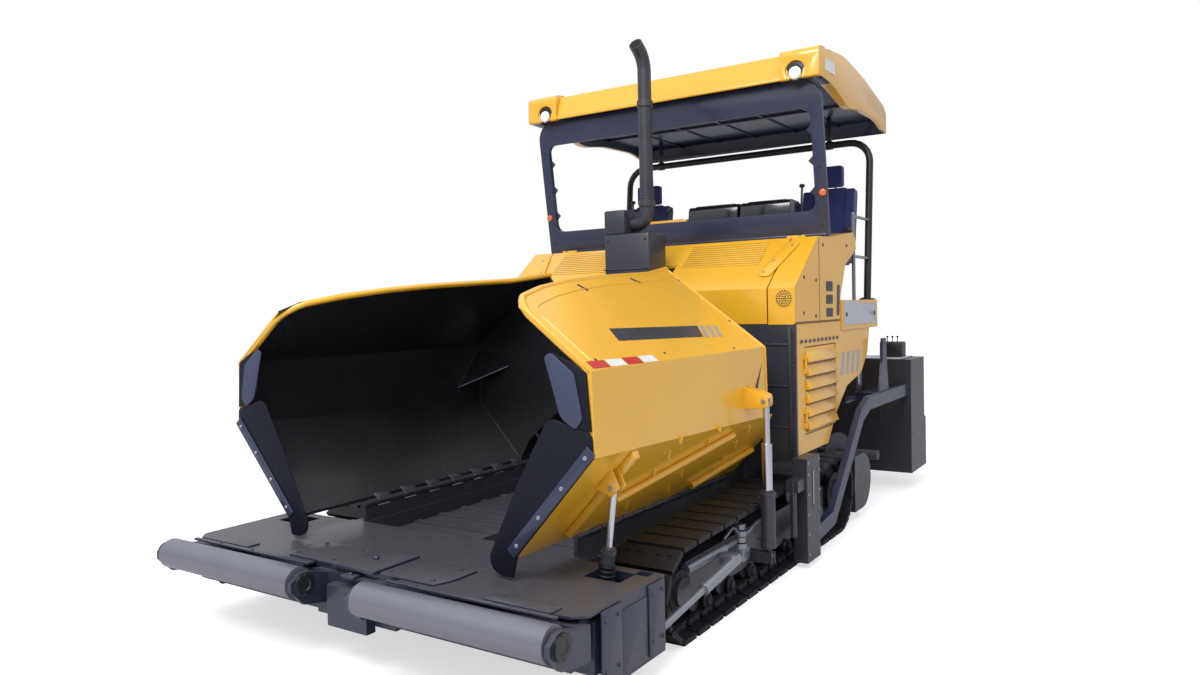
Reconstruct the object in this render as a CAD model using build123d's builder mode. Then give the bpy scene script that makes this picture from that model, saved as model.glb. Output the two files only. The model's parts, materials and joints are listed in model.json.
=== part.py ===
"""Crawler asphalt paver with a folding hopper, a raised screed and a roofed operator's platform.

Axes: +X is the machine's left, -Y its hopper end, +Y its screed end and +Z up.
The origin is on the ground, midway along and across the machine. Sizes are in millimetres.
"""
import os
from math import atan2, cos, degrees, hypot, pi, radians, sin, sqrt, tan

from build123d import *

os.makedirs("parts", exist_ok=True)

# ---- driving dimensions ----------------------------------------------------------------
front_end = -3450.0  # front of the push rollers
rear_end = 3450.0  # rear edge of the screed's walkway
motion_gap = 5.0  # clear space round a piece that moves
seat_gap = 0.3  # clear space where a piece rests on another

# tracks
track_outer = 1385.0
track_width = 370.0
arm_room = 35.0  # clear space between a track and the towing arm beside it
idler_y = -2060.0
idler_radius = 270.0  # over the shoes
sprocket_y = 590.0
sprocket_radius = 310.0  # over the shoes
shoe_thickness = 30.0
shoe_pitch = 172.0
shoe_gap = 26.0
chain_thickness = 46.0
chain_width = 210.0

# chassis
rail_outer = 940.0
rail_inner = 830.0
rail_bottom = 180.0
rail_top = 478.0
chassis_front = -2400.0
chassis_rear = 1300.0
floor_plate = 16.0
tunnel_top = 760.0
engine_deck = 800.0

# push beam and rollers
deck_top = 500.0
deck_plate = 14.0
beam_front = -2870.0
beam_half = 1450.0
roller_radius = 85.0
roller_z = 440.0
roller_inner = 245.0
bracket_plate = 30.0
bracket_room = 8.0  # clear space between a roller and its brackets
roller_outer = beam_half - bracket_plate

# hopper wings, as outlines in x and z at rest
wing_hinge_x = 850.0
wing_hinge_z = 590.0
hinge_radius = 22.0
hinge_pin = 12.0
hinge_strip_rear = -350.0
wing_front = -2925.0
wing_rear = -850.0
wing_tail = -335.0  # rear end of the floor beside the hinge
wing_plate = 15.0
wing_corner_x = 1360.0
wing_corner_z = 1153.0
wing_top_x = 1350.0
wing_top_z = 1560.0
wing_lean = 37.0  # slope of the top panel, in degrees
apron_plate = 12.0

# cylinders that fold the wings: each foot's pin in x and z, and where they stand along y
front_base = (1180.0, 330.0)
rear_base = (1440.0, 240.0)
front_cylinder_y = -2610.0
rear_cylinder_y = -1070.0
foot_half = 14.0  # half the thickness of a barrel's foot
foot_pin = 12.0
foot_cheek = 14.0

# bulkhead, hood and covers
bulkhead_front = -310.0
bulkhead_plate = 30.0
bulkhead_bottom = 660.0
waist_z = 1700.0
cover_outer = 1354.0
cover_inner = 1150.0
cover_plate = 25.0
nose_z = 1965.0
brow_y = 200.0
brow_z = 2360.0
sill_y = 425.0
sill_z = 2369.0
hood_plate = 20.0
hood_half = 1140.0

# operator's platform and roof
platform_z = 1870.0
platform_front = 730.0
platform_rear = 1840.0
frame_y = 451.0
frame_depth = 50.0
frame_half = 1347.0
roof_half = frame_half - 29.0
roof_front = 163.0
roof_rear = 2400.0
roof_front_low = 3580.0
roof_rear_low = 3460.0
roof_ceiling = 3740.0
roof_rim = 20.0
hoop_x = 1290.0
hoop_radius = 32.0

# screed and its towing arms
arm_inner = track_outer + arm_room
arm_plate = 50.0
arm_width = 110.0
guide_room = 4.0  # clear space on each side of an arm in its guide
half_width = arm_inner + arm_plate + 30.0  # half the basic width of the screed
tow_y = -370.0
tow_z = 165.0
screed_front = 2400.0
screed_rear = 3000.0
screed_bottom = 170.0
screed_waist = 660.0
screed_top = 1280.0
screed_wall = 25.0
end_wall = 30.0
end_hole_radius = 11.0
end_hole_y = 360.0
end_hole_rise = 260.0
end_hole_z = 415.0
auger_y = 1850.0
auger_z = 420.0
auger_radius = 190.0
auger_pitch = 300.0


# ---- small helpers ---------------------------------------------------------------------
def block(xs, ys, zs, mode=Mode.ADD):
    """A box from its low and high x, y and z."""
    with Locations(tuple((low + high) / 2 for low, high in (xs, ys, zs))):
        Box(*(high - low for low, high in (xs, ys, zs)), mode=mode)


def side_plate(outline, xs, mode=Mode.ADD):
    """A plate that lies across x, with its outline given in y and z."""
    with BuildSketch(Plane.YZ.offset(xs[0])) as face:
        with BuildLine():
            Polyline(*outline, close=True)
        make_face()
    extrude(face.sketch, amount=xs[1] - xs[0], mode=mode)


def front_plate(outline, ys, mode=Mode.ADD):
    """A plate that lies across y, with its outline given in x and z."""
    with BuildSketch(Plane.XZ.offset(-ys[1])) as face:
        with BuildLine():
            Polyline(*outline, close=True)
        make_face()
    extrude(face.sketch, amount=ys[1] - ys[0], mode=mode)


def level_plate(outline, zs, mode=Mode.ADD):
    """A plate that lies flat, with its outline given in x and y."""
    with BuildSketch(Plane.XY.offset(zs[0])) as face:
        with BuildLine():
            Polyline(*outline, close=True)
        make_face()
    extrude(face.sketch, amount=zs[1] - zs[0], mode=mode)


def bar(start, end, radius, mode=Mode.ADD):
    """A round bar between two points."""
    along = Vector(*end) - Vector(*start)
    with BuildSketch(Plane(origin=start, z_dir=along)) as face:
        Circle(radius)
    extrude(face.sketch, amount=along.length, mode=mode)


def tube_path(points, bends, radius, mode=Mode.ADD):
    """A round bar bent along straight runs, with one bend radius for each corner."""
    with BuildLine() as path:
        FilletPolyline(*points, radius=bends)
    with BuildSketch(Plane(origin=path.line @ 0, z_dir=path.line % 0)) as face:
        Circle(radius)
    sweep(face.sketch, path=path.line, mode=mode)


def strap(points, width, xs):
    """A plate across x that follows points in y and z, with round ends and elbows."""
    with BuildSketch(Plane.YZ.offset(xs[0])) as face:
        for (y0, z0), (y1, z1) in zip(points, points[1:]):
            with Locations(((y0 + y1) / 2, (z0 + z1) / 2)):
                SlotCenterToCenter(hypot(y1 - y0, z1 - z0), width, rotation=degrees(atan2(z1 - z0, y1 - y0)))
    extrude(face.sketch, amount=xs[1] - xs[0])


def save(piece, name):
    """Label a finished piece and write it to its own STEP file."""
    piece.part.label = name
    export_step(piece.part, f"parts/{name}.step")


def save_pair(piece, name):
    """Write a left-hand piece and its mirror image on the right."""
    save(piece, f"{name}_left")
    with BuildPart() as opposite:
        mirror(piece.part, about=Plane.YZ)
    save(opposite, f"{name}_right")


# ---- tracks ----------------------------------------------------------------------------
track_middle = track_outer - track_width / 2
track_inner = track_outer - track_width
wheel_depth = shoe_thickness + chain_thickness
loop_wheels = (  # y, radius over the shoes
    (idler_y, idler_radius),
    (sprocket_y, sprocket_radius),
)
top_rise = degrees(atan2(2 * (sprocket_radius - idler_radius), sprocket_y - idler_y))


def loop_sketch(inset):
    """The outline round both wheels, inset from the shoes' faces."""
    for y, over in loop_wheels:
        with Locations((y, over)):
            Circle(over - inset)
    make_hull()


def chord_reach(over):
    """Distance from a wheel's centre to a shoe's middle, with the shoe's corners on the outline."""
    return sqrt(over**2 - ((shoe_pitch - shoe_gap) / 2) ** 2) - shoe_thickness / 2


def shoe_places():
    """Place and turn of each shoe's middle, evenly spaced round the loop."""
    lean = radians(top_rise)
    low = (idler_y, sprocket_y)
    wheel_arcs = (pi + lean, pi - lean)  # round the sprocket, round the idler
    run = sprocket_y - idler_y
    top = hypot(run, sprocket_radius - idler_radius)
    depth = shoe_thickness / 2
    stretches = (run, wheel_arcs[0] * sprocket_radius, top, wheel_arcs[1] * idler_radius)
    total = sum(stretches)
    count = round(total / shoe_pitch)
    for index in range(count):
        s = index * total / count
        if s < stretches[0]:
            yield low[0] + s, depth, 0.0
            continue
        s -= stretches[0]
        if s < stretches[1]:
            turn = s / sprocket_radius
            reach = chord_reach(sprocket_radius)
            yield sprocket_y + reach * sin(turn), sprocket_radius - reach * cos(turn), degrees(turn)
            continue
        s -= stretches[1]
        if s < stretches[2]:
            turn = wheel_arcs[0]
            reach = sprocket_radius - depth
            y = sprocket_y + reach * sin(turn) + s * cos(turn)
            z = sprocket_radius - reach * cos(turn) + s * sin(turn)
            yield y, z, degrees(turn)
            continue
        s -= stretches[2]
        turn = wheel_arcs[0] + s / idler_radius
        reach = chord_reach(idler_radius)
        yield idler_y + reach * sin(turn), idler_radius - reach * cos(turn), degrees(turn)


with BuildPart() as track:
    with BuildSketch(Plane.YZ.offset(track_middle - chain_width / 2)):
        loop_sketch(shoe_thickness - 1)
    extrude(amount=chain_width)
    with BuildSketch(Plane.YZ.offset(track_inner)):
        for y, z, turn in shoe_places():
            with Locations(Location((y, z, 0), (0, 0, turn))):
                Rectangle(shoe_pitch - shoe_gap, shoe_thickness)
    extrude(amount=track_width)
    with BuildSketch(Plane.YZ.offset(track_inner)):
        loop_sketch(wheel_depth)
    extrude(amount=track_width, mode=Mode.SUBTRACT)
save_pair(track, "track")

# frame, wheels and rollers that fill the loop
frame_low = 150.0
frame_high = 400.0
wheel_width = 120.0
roller_count = 7
bottom_roller = 62.0
with BuildPart() as track_frame:
    block((track_middle - 95, track_middle + 95), (idler_y + 120, sprocket_y - 190), (frame_low, frame_high))
    block((track_inner + 10, track_middle - 90), (-1300, -900), (frame_low + 20, frame_high - 40))
    block((rail_outer, track_middle - 90), (-1250, -950), (frame_low + 40, frame_high - 60))
    block((rail_outer, track_middle - 90), (-150, 150), (frame_low + 40, frame_high - 60))
    for y, over in loop_wheels:
        with BuildSketch(Plane.YZ.offset(track_middle - wheel_width / 2)):
            with Locations((y, over)):
                Circle(over - wheel_depth - seat_gap)
        extrude(amount=wheel_width)
        bar((track_middle - 130, y, over), (track_middle + 150, y, over), 80)
    for index in range(roller_count):
        y = idler_y + 250 + index * (sprocket_y - idler_y - 500) / (roller_count - 1)
        z = wheel_depth + seat_gap + bottom_roller
        bar((track_middle - 80, y, z), (track_middle + 80, y, z), bottom_roller)
    for y in (idler_y + 850, idler_y + 1800):
        top_z = 2 * idler_radius + (y - idler_y) * tan(radians(top_rise)) - wheel_depth
        bar((track_middle - 70, y, top_z - 62), (track_middle + 70, y, top_z - 62), 60)
        block((track_middle - 30, track_middle + 30), (y - 30, y + 30), (frame_high, top_z - 62))
save_pair(track_frame, "track_frame")

# ---- chassis ---------------------------------------------------------------------------
knuckle_pitch = 240.0
knuckle_length = 110.0
hinge_front = chassis_front + 20
knuckle_starts = [hinge_front + index * knuckle_pitch for index in range(8)]
with BuildPart() as chassis:
    block((rail_inner, rail_outer), (chassis_front, chassis_rear), (rail_bottom, rail_top))
    # hinge strip with every second knuckle and the pin of the hopper wing
    strip_top = wing_hinge_z - hinge_radius - motion_gap
    block((wing_hinge_x - 12, wing_hinge_x + 12), (hinge_front, hinge_strip_rear), (rail_top, strip_top))
    bar((wing_hinge_x, hinge_front, wing_hinge_z), (wing_hinge_x, hinge_strip_rear, wing_hinge_z), hinge_pin)
    for y in knuckle_starts:
        bar((wing_hinge_x, y, wing_hinge_z), (wing_hinge_x, y + knuckle_length, wing_hinge_z), hinge_radius)
        block((wing_hinge_x - 12, wing_hinge_x + 12), (y, y + knuckle_length), (strip_top, wing_hinge_z))
    tunnel_front = bulkhead_front + bulkhead_plate
    block((rail_outer - 40, rail_outer), (tunnel_front, chassis_rear), (rail_top, tunnel_top))
    mirror(about=Plane.YZ)
    block((-rail_inner, rail_inner), (chassis_front, chassis_rear), (rail_bottom, rail_bottom + floor_plate))
    block((-rail_outer, rail_outer), (tunnel_front, chassis_rear), (tunnel_top, engine_deck))
    for y in (chassis_front, chassis_rear - 60):
        block((-rail_inner, rail_inner), (y, y + 60), (rail_bottom + floor_plate, rail_bottom + 90))
save(chassis, "chassis_frame")

conveyor_low = rail_bottom + 110.0
conveyor_high = conveyor_low + 110.0
slat_pitch = 230.0
with BuildPart() as conveyor:
    for side in (-1, 1):
        xs = sorted((side * 5, side * rail_inner))
        block(xs, (chassis_front + 80, chassis_rear + 150), (conveyor_low, conveyor_high - 20))
        with BuildSketch(Plane.YZ.offset(min(xs) + 30)):
            for index in range(int((chassis_rear - chassis_front) / slat_pitch)):
                with Locations((chassis_front + 220 + index * slat_pitch, conveyor_high - 10)):
                    Rectangle(46, 22)
        extrude(amount=rail_inner - 65)
    block((-4, 4), (chassis_front + 80, chassis_rear - 60), (rail_bottom + floor_plate, conveyor_high + 30))
save(conveyor, "conveyor")

# ---- push beam -------------------------------------------------------------------------
barrel_pocket_x = (1110.0, 1330.0)
barrel_pocket_y = (-2690.0, -2530.0)
nose_front = -3200.0
with BuildPart() as push_beam:
    block((-rail_outer, rail_outer), (beam_front, chassis_front), (rail_bottom, deck_top - deck_plate))
    block((rail_outer, beam_half), (beam_front, -2460), (110, deck_top - deck_plate))
    block((300, beam_half - 60), (nose_front, beam_front), (250, 462))
    block((beam_half - 190, beam_half - 30), (-3060, beam_front), (190, 440))
    bracket_xs = (roller_inner - bracket_plate - bracket_room, roller_outer + bracket_room)
    block((beam_half - 90, bracket_xs[1] + bracket_plate), (nose_front, nose_front + 60), (300, 462))
    level_plate(
        (
            (330, -3270),
            (beam_half - 60, nose_front + 10),
            (beam_half, nose_front + 70),
            (beam_half, -2460),
            (330, -2460),
        ),
        (deck_top - deck_plate, deck_top - seat_gap),
    )
    block(barrel_pocket_x, barrel_pocket_y, (190, deck_top + 1), mode=Mode.SUBTRACT)
    # cheeks and pin that hold the foot of the front wing cylinder
    for side in (-1, 1):
        ys = sorted((front_cylinder_y + side * 15, front_cylinder_y + side * (15 + foot_cheek)))
        block((front_base[0] - 30, front_base[0] + 30), ys, (190, front_base[1] + 14))
    pin_x, pin_z = front_base
    bar((pin_x, front_cylinder_y - 28, pin_z), (pin_x, front_cylinder_y + 28, pin_z), foot_pin)
    block((beam_half - 130, beam_half - 50), (-2540, -2470), (400, deck_top + 1), mode=Mode.SUBTRACT)
    for x in bracket_xs:
        side_plate(
            (
                (nose_front, 300),
                (nose_front, 462),
                (-3330, 500),
                (-3385, 500),
                (-3440, 462),
                (-3440, 415),
                (-3360, 330),
            ),
            (x, x + bracket_plate),
        )
    for x in bracket_xs:
        with BuildSketch(Plane.YZ.offset(x)):
            with Locations((front_end + roller_radius, roller_z)):
                Circle(28)
        extrude(amount=bracket_plate, mode=Mode.SUBTRACT)
    mirror(about=Plane.YZ)
    block((-300, 300), (nose_front, beam_front), (230, 470))
    block((-150, 150), (-3260, nose_front), (200, 420))
    block((-330, 330), (nose_front + 20, chassis_front), (470, deck_top - seat_gap))
save(push_beam, "push_beam")

with BuildPart() as push_roller:
    roller_y = front_end + roller_radius
    bar((roller_inner, roller_y, roller_z), (roller_outer, roller_y, roller_z), roller_radius)
    bar((bracket_xs[0], roller_y, roller_z), (bracket_xs[1] + bracket_plate, roller_y, roller_z), 27)
save_pair(push_roller, "push_roller")

# ---- hopper ----------------------------------------------------------------------------
floor_slope = degrees(atan2(wing_corner_z - wing_hinge_z, wing_corner_x - wing_hinge_x))
floor_start = 26.0  # distance of the floor's edge from the hinge's centre
free_edge = (  # y, x of the top panel's free edge, from the front to the rear
    (-2925, 913),
    (-2820, 850),
    (-2660, 800),
    (-2450, 750),
    (-2040, 686),
    (-1600, 646),
    (-1090, 619),
    (-850, 617),
)


def wing_outline(depth):
    """The wing's section in x and z, from the hinge to the free edge, as far inside as depth."""
    slope = radians(floor_slope)
    lean = radians(wing_lean)
    inside = depth / cos(slope)
    start_x = wing_hinge_x + floor_start * cos(slope)
    foot = (start_x, wing_hinge_z + floor_start * sin(slope) + inside)
    corner_x = wing_corner_x - depth
    corner_z = wing_hinge_z + (corner_x - wing_hinge_x) * tan(slope) + inside
    top_x = wing_top_x - depth
    top_z = wing_top_z - depth * tan(radians(45 - wing_lean / 2))
    end_x = 590.0
    end_z = top_z + (top_x - end_x) * tan(lean)
    return [foot, (corner_x, corner_z), (top_x, top_z), (end_x, end_z)]


slope_cos = cos(radians(floor_slope))
slope_sin = sin(radians(floor_slope))


def on_wing(along, out):
    """x and z of a point that lies along the floor from the hinge, and out from its outer face."""
    return (
        wing_hinge_x + along * slope_cos + out * slope_sin,
        wing_hinge_z + along * slope_sin - out * slope_cos,
    )


tail_x = 1110.0  # where the slanting rear corner starts
corner_y = wing_rear - 50
closer_plate = 12.0
with BuildPart() as rear_closer:
    level_plate(
        (
            (tail_x, wing_tail),
            (wing_corner_x + 8, corner_y),
            (wing_corner_x + 8, corner_y - 2 * closer_plate),
            (tail_x, wing_tail - 2 * closer_plate),
        ),
        (600, 1320),
    )
    front_plate(
        wing_outline(wing_plate / 2)[:2] + [(wing_corner_x - 8, 1320), (tail_x - 60, 1320)],
        (-1400, 0),
        mode=Mode.INTERSECT,
    )

front_eye = on_wing(542, 62)
rear_eye = (1437.0, 1235.0)
cheek_room = 6.0  # room beside a rod between the two cheeks of its eye bracket
front_rod = 17.0
rear_rod = 22.0
cheek_plate = 14.0
with BuildPart() as wing:
    front_plate(wing_outline(0) + wing_outline(wing_plate)[::-1], (wing_front, wing_tail))
    # the free edge sweeps inward and rearward
    level_plate(
        [(x, y) for y, x in free_edge] + [(617, 0), (300, 0), (300, wing_front - 10), (913, wing_front - 10)],
        (wing_top_z, wing_top_z + 700),
        mode=Mode.SUBTRACT,
    )
    # behind the rear corner only the low part of the floor runs on to the bulkhead
    level_plate(
        ((1500, corner_y - 10), (wing_corner_x + 15, corner_y), (tail_x, wing_tail), (tail_x, 0), (1500, 0)),
        (0, 3000),
        mode=Mode.SUBTRACT,
    )
    block((0, 1400), (wing_rear, 0), (1320, 3000), mode=Mode.SUBTRACT)
    add(rear_closer.part)
    # hinge knuckles between those of the chassis
    for y in knuckle_starts:
        low = y + knuckle_length + motion_gap
        high = y + knuckle_pitch - motion_gap
        bar((wing_hinge_x, low, wing_hinge_z), (wing_hinge_x, high, wing_hinge_z), hinge_radius)
        knuckle_leaf = (on_wing(0, 0), on_wing(60, 0), on_wing(60, -wing_plate), on_wing(0, -wing_plate))
        front_plate(knuckle_leaf, (low, high))
    bore_start = (wing_hinge_x, wing_front, wing_hinge_z)
    bar(bore_start, (wing_hinge_x, 0, wing_hinge_z), hinge_pin + 0.5, mode=Mode.SUBTRACT)
    # rolled lip along the front edge of the wall and the top panel
    lip = 20.0
    lip_y = wing_front + lip
    lip_turn = (wing_top_x - lip, lip_y, wing_top_z - 8)
    bar((wing_corner_x - lip, lip_y, 1210), lip_turn, lip)
    bar(lip_turn, (935, lip_y, 1865), lip)
    # eye brackets of the two cylinders
    for side in (-1, 1):
        near = side * (front_rod + cheek_room)
        ys = sorted((front_cylinder_y + near, front_cylinder_y + near + side * cheek_plate))
        front_plate((on_wing(470, -5), on_wing(620, -5), on_wing(580, 96), on_wing(515, 96)), ys)
        near = side * (rear_rod + cheek_room)
        ys = sorted((rear_cylinder_y + near, rear_cylinder_y + near + side * cheek_plate))
        x, z = rear_eye
        root_x = wing_corner_x - 8
        front_plate(((root_x, z - 60), (x + 30, z - 40), (x + 30, z + 40), (root_x, z + 90)), ys)
    # box rib from the front bracket to the hinge
    rib_start = front_cylinder_y + front_rod + cheek_room + cheek_plate
    rib_y = (rib_start, rib_start + 60)
    front_plate((on_wing(90, -5), on_wing(760, -5), on_wing(740, 40), on_wing(110, 40)), rib_y)
save_pair(wing, "wing")

with BuildPart() as apron:
    ys = (wing_front - apron_plate, wing_front)
    front_plate(
        (
            (855, 520),
            on_wing(60, 0),
            (wing_corner_x, wing_corner_z),
            (wing_corner_x - 5, wing_corner_z + 110),
            (1266, 1282),
            (1093, 1343),
            (911, 1012),
            (703, 600),
            (730, 545),
            (790, 518),
        ),
        ys,
    )
    front_plate(
        (
            (1266, 1284),
            (wing_corner_x - 8, 1272),
            (wing_top_x - 22, 1555),
            (1251, 1600),
            (1120, 1650),
            (1150, 1380),
        ),
        ys,
    )
    front_plate((on_wing(40, 0), on_wing(800, 0), on_wing(800, -60), on_wing(40, -60)), (ys[0] - 8, ys[0]))
save_pair(apron, "wing_apron")


# ---- wing cylinders --------------------------------------------------------------------
def cylinder(base, eye, y, sizes):
    """The barrel and rod of one cylinder that lies across y; sizes names its radii and lengths."""
    (x0, z0), (x1, z1) = base, eye
    length = hypot(x1 - x0, z1 - z0)
    neck = sizes["neck"]

    def at(distance):
        return (x0 + (x1 - x0) * distance / length, y, z0 + (z1 - z0) * distance / length)

    with BuildPart() as barrel:
        bar(at(0), at(neck + 10), foot_half - 2)
        bar(at(neck), at(sizes["barrel_length"]), sizes["barrel"])
        bar(at(sizes["bore_start"]), at(sizes["barrel_length"] + 5), sizes["tube"] + 0.5, mode=Mode.SUBTRACT)
        bar((x0, y - foot_half, z0), (x0, y + foot_half, z0), 30)
        bar((x0, y - foot_half - 1, z0), (x0, y + foot_half + 1, z0), foot_pin + 0.4, mode=Mode.SUBTRACT)
    with BuildPart() as rod:
        bar(at(sizes["tube_start"]), at(sizes["tube_end"]), sizes["tube"])
        bar(at(sizes["tube_end"] - 10), at(length), sizes["rod"])
        bar((x1, y - 12, z1), (x1, y + 12, z1), sizes["rod"] + 10)
    return barrel, rod


front_sizes = {
    "barrel": 36.0,
    "barrel_length": 300.0,
    "neck": 42.0,
    "bore_start": 52.0,
    "tube": 17.0,
    "tube_start": 240.0,
    "tube_end": 500.0,
    "rod": front_rod,
}
rear_sizes = {
    "barrel": 47.0,
    "barrel_length": 410.0,
    "neck": 50.0,
    "bore_start": 62.0,
    "tube": 33.0,
    "tube_start": 366.0,
    "tube_end": 720.0,
    "rod": rear_rod,
}
for name, base, eye, y, sizes in (
    ("front", front_base, front_eye, front_cylinder_y, front_sizes),
    ("rear", rear_base, rear_eye, rear_cylinder_y, rear_sizes),
):
    wing_barrel, wing_rod = cylinder(base, eye, y, sizes)
    save_pair(wing_barrel, f"wing_{name}_barrel")
    save_pair(wing_rod, f"wing_{name}_rod")

with BuildPart() as cylinder_mounts:
    # bracket from the track's frame to the foot of the rear wing cylinder
    x, z = rear_base
    for side in (-1, 1):
        ys = sorted((rear_cylinder_y + side * 15, rear_cylinder_y + side * (15 + foot_cheek)))
        block((track_middle + 95, x + 32), ys, (z - 50, z + 22))
    bar((x, rear_cylinder_y - 28, z), (x, rear_cylinder_y + 28, z), foot_pin)
    mirror(about=Plane.YZ)
save(cylinder_mounts, "wing_cylinder_feet")

# ---- bulkhead, engine, hood and covers ---------------------------------------------------
with BuildPart() as bulkhead:
    bulkhead_ys = (bulkhead_front, bulkhead_front + bulkhead_plate)
    block((-cover_outer, cover_outer), bulkhead_ys, (bulkhead_bottom, waist_z))
    block((-rail_outer, rail_outer), bulkhead_ys, (rail_top, bulkhead_bottom))
    block((-rail_inner + 60, rail_inner - 60), bulkhead_ys, (rail_top, 640), mode=Mode.SUBTRACT)
save(bulkhead, "bulkhead")

with BuildPart() as hopper_back:
    # sloping plate that feeds the material down on to the conveyors
    side_plate(
        (
            (bulkhead_front - 190, 660),
            (bulkhead_front - 176, 660),
            (bulkhead_front, 1500),
            (bulkhead_front, 1560),
            (bulkhead_front - 14, 1500),
        ),
        (-rail_inner, rail_inner),
    )
    block((-12, 12), (bulkhead_front - 150, bulkhead_front), (700, 1100))
save(hopper_back, "hopper_back")

muffler_x = (-180.0, 230.0)
muffler_y = (-430.0, -150.0)
with BuildPart() as engine:
    block((-430, 430), (-270, 700), (engine_deck, 1800))
    block((-300, 300), (-200, 600), (1800, 1860))
    block((muffler_x[0] + 40, muffler_x[1] - 40), (-270, -200), (1800, 1880))
save(engine, "engine_block")

pipe_x = 105.0
pipe_y = -290.0
pipe_radius = 54.0
pipe_top = 3880.0
with BuildPart() as muffler:
    block(muffler_x, muffler_y, (1880, 2430))
    block((muffler_x[0], muffler_x[0] + 190), muffler_y, (2430, 2620))
save(muffler, "muffler")

with BuildPart() as exhaust:
    tube_path(
        (
            (muffler_x[0] + 190, pipe_y, 2510),
            (pipe_x, pipe_y, 2510),
            (pipe_x, pipe_y, pipe_top),
            (pipe_x - 120, pipe_y - 120, pipe_top + 6),
        ),
        [80, 95],
        pipe_radius,
    )
save(exhaust, "exhaust_pipe")

notch_gap = 30.0
hood_hinge_y = sill_y - 16
hood_hinge_z = sill_z + 9
hood_pin_reach = 120.0
with BuildPart() as hood:
    side_plate(
        (
            (bulkhead_front, waist_z + motion_gap),
            (bulkhead_front, nose_z),
            (brow_y, brow_z),
            (sill_y - 6, sill_z),
            (sill_y - 6, sill_z - hood_plate),
            (brow_y + 6, brow_z - hood_plate),
            (bulkhead_front + hood_plate, nose_z - 10),
            (bulkhead_front + hood_plate, waist_z + motion_gap),
        ),
        (-hood_half, hood_half),
    )
    block(
        (muffler_x[0] - notch_gap, muffler_x[1] + notch_gap),
        (bulkhead_front - 10, muffler_y[1] + 120),
        (waist_z, 3000),
        mode=Mode.SUBTRACT,
    )
    for x in (-hood_half + 60, hood_half - 60):
        for reach, radius, mode in ((50, 15, Mode.ADD), (51, 8.3, Mode.SUBTRACT)):
            bar((x - reach, hood_hinge_y, hood_hinge_z), (x + reach, hood_hinge_y, hood_hinge_z), radius, mode)
save(hood, "hood")

with BuildPart() as side_cover:
    side_plate(
        (
            (bulkhead_front, waist_z),
            (bulkhead_front, nose_z),
            (brow_y, brow_z),
            (frame_y, sill_z),
            (1080, 2440),
            (1150, 2380),
            (1160, 2300),
            (860, 2160),
            (726, 1900),
            (710, waist_z),
        ),
        (cover_inner, cover_outer),
    )
    block(
        (cover_inner, cover_inner + 30),
        (hood_hinge_y - 15, hood_hinge_y + 15),
        (sill_z - 30, hood_hinge_z + 15),
    )
    pin_end = cover_inner - hood_pin_reach
    bar((pin_end, hood_hinge_y, hood_hinge_z), (cover_inner, hood_hinge_y, hood_hinge_z), 8)
    side_plate(  # sheet shell, open towards the engine
        (
            (bulkhead_front + 40, waist_z + 40),
            (bulkhead_front + 40, nose_z - 20),
            (brow_y + 10, brow_z - 50),
            (frame_y - 20, sill_z - 50),
            (1050, 2390),
            (1060, 2330),
            (820, 2190),
            (690, 1920),
            (675, waist_z + 40),
        ),
        (cover_inner - 1, cover_outer - cover_plate),
        mode=Mode.SUBTRACT,
    )
    fillet(side_cover.edges().filter_by(Axis.Y).group_by(Axis.X)[-1], 18)
save_pair(side_cover, "side_cover")

# ---- lower side panels and doors -------------------------------------------------------
panel_plate = 25.0
door_y = (-130.0, 580.0)
door_z = (885.0, 1525.0)
panel_inner = cover_outer - panel_plate
door_axis = (cover_outer + 12, door_y[0] - 7)
door_knuckles = (door_z[0] + 90, door_z[1] - 150)  # where the two door knuckles start
with BuildPart() as side_panel:
    side_plate(
        (
            (bulkhead_front + bulkhead_plate, 750),
            (370, 750),
            (600, 980),
            (870, 1160),
            (1270, 1240),
            (1460, 1405),
            (1530, 1620),
            (platform_front - 10, 1620),
            (platform_front - 10, waist_z),
            (bulkhead_front + bulkhead_plate, waist_z),
        ),
        (panel_inner, cover_outer),
    )
    block(
        (panel_inner - 1, cover_outer + 1),
        (door_y[0] - motion_gap, door_y[1] + motion_gap),
        (door_z[0] - motion_gap, door_z[1] + motion_gap),
        mode=Mode.SUBTRACT,
    )
    # cooling slots under the waist
    with BuildSketch(Plane.YZ.offset(panel_inner - 1)):
        for index in range(10):
            with Locations((-190 + index * 90, 1570)):
                SlotOverall(62, 26)
    extrude(amount=panel_plate + 2, mode=Mode.SUBTRACT)
    for z in door_knuckles:
        for low, high in ((z - 41, z - 1), (z + 61, z + 101)):
            bar((*door_axis, low), (*door_axis, high), 9)
            block((cover_outer - 2, cover_outer + 10), (door_axis[1] - 22, door_axis[1]), (low, high))
        bar((*door_axis, z - 20), (*door_axis, z + 80), 5)
save_pair(side_panel, "side_panel")

louvre_count = 6
with BuildPart() as side_door:
    block((panel_inner, cover_outer), door_y, door_z)
    for index in range(louvre_count):
        z = door_z[0] + 70 + index * 95
        with BuildSketch(Plane.XZ.offset(-door_y[1] + 90)):
            with BuildLine():
                Polyline((panel_inner, z), (cover_outer + 1, z - 8), (cover_outer + 1, z + 50), close=True)
            make_face()
        extrude(amount=door_y[1] - door_y[0] - 150, mode=Mode.SUBTRACT)
    for z in door_knuckles:
        bar((*door_axis, z), (*door_axis, z + 60), 9)
        block((cover_outer, cover_outer + 10), (door_y[0] - 3, door_y[0] + 30), (z, z + 60))
        bar((*door_axis, z - 1), (*door_axis, z + 61), 5.3, mode=Mode.SUBTRACT)
save_pair(side_door, "side_door")

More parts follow.
